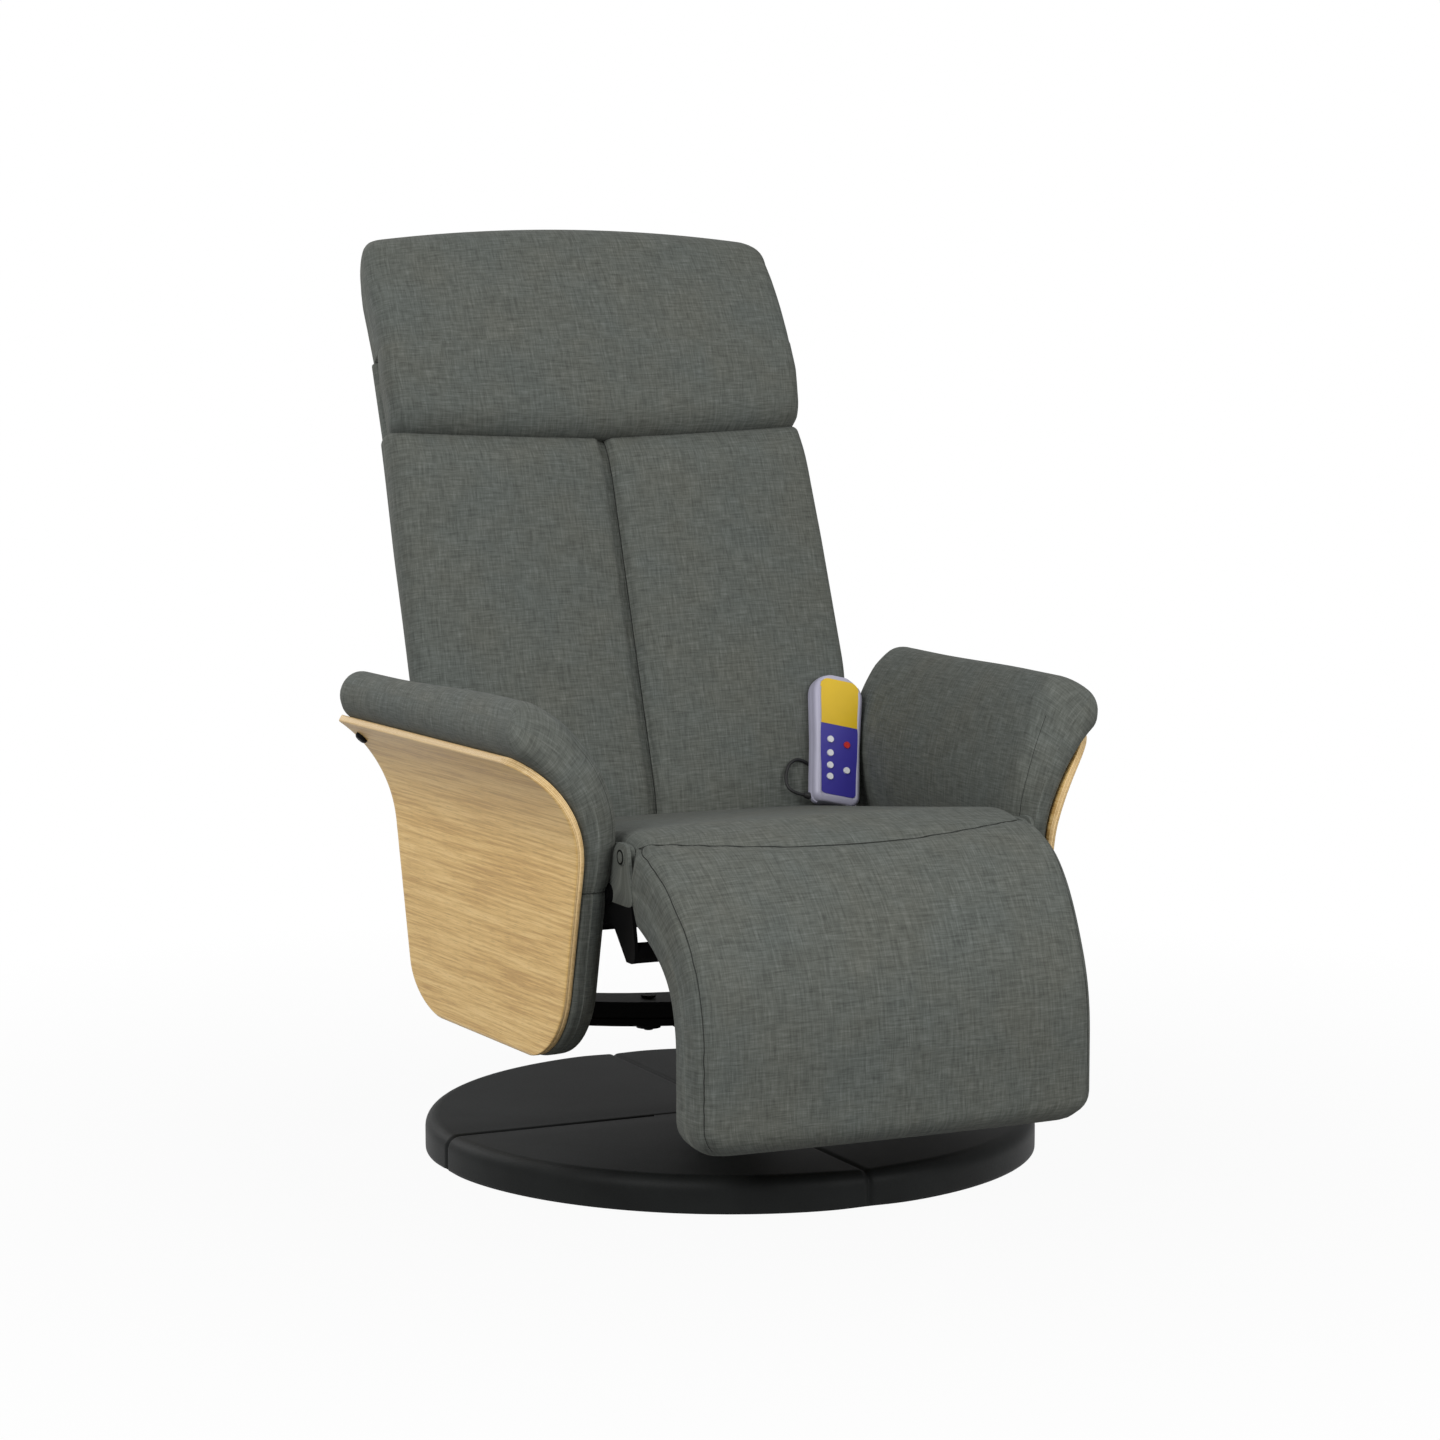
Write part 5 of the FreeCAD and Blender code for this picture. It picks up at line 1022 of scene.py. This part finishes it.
def seat_seams():
    """Edge seams along both sides of the pad, and the cross seam, which bows forward between them."""
    columns = seat_grid.shape[1] // 2
    line = seat_grid[:, columns // 2]
    front = int(np.argmin(np.abs(line[:, 1] - FRONT_Y) + (line[:, 2] < 0.3)))
    made = []
    for number, column in ((1, 7), (2, columns - 8)):
        path = seat_grid[front:-4, column]
        made.append(sewn_seam(f"leg_edge_seam_{number}", seat_pad, path, None, 0.0022, 0.004, 0.0008))
    across = np.linspace(-SEAM_REACH, SEAM_REACH, 120)
    out = (across / SEAM_REACH) ** 2
    forward = FRONT_Y - SEAM_BOW * (1 - out)
    line = line[front - 6:-20]
    height = np.interp(-forward, -line[:, 1], line[:, 2]) + 0.002 - SEAM_SAG * out
    made.append(sewn_seam("front_cross_seam", seat_pad, upright(across, forward, height), None, 0.003, 0.006))
    return made


seams = seat_seams()
sewn_seam("back_middle_seam", back, back_grid[6:-4, back_grid.shape[1] // 4], "backrest", 0.004, 0.006)
for piece in [seat_pad] + seams:
    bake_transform(piece)
for word, (pad, grid) in arm_pads.items():
    row = int(np.argmin(np.abs(grid[:, 5, 2] - ARM_SEAM_Z)))
    path = np.concatenate([grid[row, -10:], grid[row, :10]])
    sewn_seam(word + "_arm_front_seam", pad, path, "chair_frame", 0.0015, 0.004, 0.0008)
    sewn_seam(word + "_arm_edge_seam", pad, grid[16:-17, 7], "chair_frame", 0.0012, 0.0035, 0.0006)


# Studio: each lamp's place, height of aim, size and power; the floor, the white around, and the camera

LAMPS = {
    "key_lamp": ((-3.2, -2.0, 2.9), 0.5, 1.8, 97), "fill_lamp": ((1.4, -3.2, 1.9), 0.5, 2.0, 58),
    "top_lamp": ((0.2, 0.4, 3.4), 0.4, 2.4, 4), "rear_lamp": ((-1.6, 3.0, 2.0), 0.5, 2.0, 36)}
FLOOR_EDGE, FLOOR_COLOUR, WHITE = 30.0, (0.2, 0.2, 0.2, 1), (1, 1, 1, 1)
FLOOR_SHADE = {"From_Min": 0.5, "From_Max": 1.6, "To_Min": 0.95, "To_Max": 1.0}
AMBIENT, SEEN_BESIDES = 0.46, 0.54
CAMERA_PLACE, CAMERA_AHEAD = (-1.7813, -3.7756, 0.9688), (0.42391, 0.89855, -0.11360)
CAMERA_LENS, CAMERA_SENSOR, CAMERA_SHIFT = 92.0, 36.0, -0.007


def aimed(thing, place, ahead):
    thing.location = place
    thing.rotation_euler = Vector(ahead).to_track_quat("-Z", "Y").to_euler()


def paper_floor():
    """A wide floor that looks white and keeps a little of the shade close to the object."""
    mesh = bpy.data.meshes.new("studio_floor")
    corners = [(x * FLOOR_EDGE, y * FLOOR_EDGE, 0) for x, y in ((-1, -1), (1, -1), (1, 1), (-1, 1))]
    mesh.from_pydata(corners, [], [(0, 1, 2, 3)])
    floor = add_object("studio_floor", mesh)
    paper, tree, shader = new_material("pale_paper", Roughness=0.9, Base_Color=FLOOR_COLOUR)
    path = tree.nodes.new("ShaderNodeLightPath").outputs
    seen = maths(tree, "MAXIMUM", path["Is Camera Ray"], path["Is Glossy Ray"])
    spot = tree.nodes.new("ShaderNodeTexCoord").outputs["Object"]
    away = add_node(tree, "ShaderNodeVectorMath", {"operation": "LENGTH"}, Vector=spot).outputs["Value"]
    near = add_node(tree, "ShaderNodeMapRange", Value=away, **FLOOR_SHADE).outputs["Result"]
    glow = add_node(tree, "ShaderNodeEmission", Color=WHITE, Strength=1.0)
    mix = tree.nodes.new("ShaderNodeMixShader")
    share = maths(tree, "MULTIPLY", seen, near)
    for socket, value in zip(mix.inputs, (share, shader.outputs[0], glow.outputs[0])):
        put(tree, socket, value)
    put(tree, tree.nodes["Material Output"].inputs["Surface"], mix.outputs[0])
    mesh.materials.append(paper)


def white_world():
    """White to the camera, and a dimmer light from all round."""
    world = bpy.data.worlds.new("studio")
    scene.world = world
    world.use_nodes = True
    tree = world.node_tree
    light = tree.nodes["Background"].inputs
    path = tree.nodes.new("ShaderNodeLightPath").outputs
    seen = maths(tree, "MAXIMUM", path["Is Camera Ray"], path["Is Transmission Ray"])
    put(tree, light["Strength"], scaled(tree, seen, SEEN_BESIDES, AMBIENT))
    put(tree, light["Color"], WHITE)


def soft_lamp(name, place, aim_z, size, power):
    lamp = bpy.data.lights.new(name, "AREA")
    lamp.shape = "RECTANGLE"
    lamp.size, lamp.size_y = size, size
    lamp.energy = power
    aimed(add_object(name, lamp), place, Vector((0, 0, aim_z)) - Vector(place))


def photo_camera():
    camera = bpy.data.cameras.new("photo_camera")
    camera.lens = CAMERA_LENS
    camera.sensor_width = CAMERA_SENSOR
    camera.shift_x = CAMERA_SHIFT
    camera.clip_end = 100
    eye = add_object("photo_camera", camera)
    aimed(eye, CAMERA_PLACE, CAMERA_AHEAD)
    scene.camera = eye


paper_floor()
white_world()
for name, settings in LAMPS.items():
    soft_lamp(name, *settings)
photo_camera()
scene.view_settings.view_transform = "Standard"
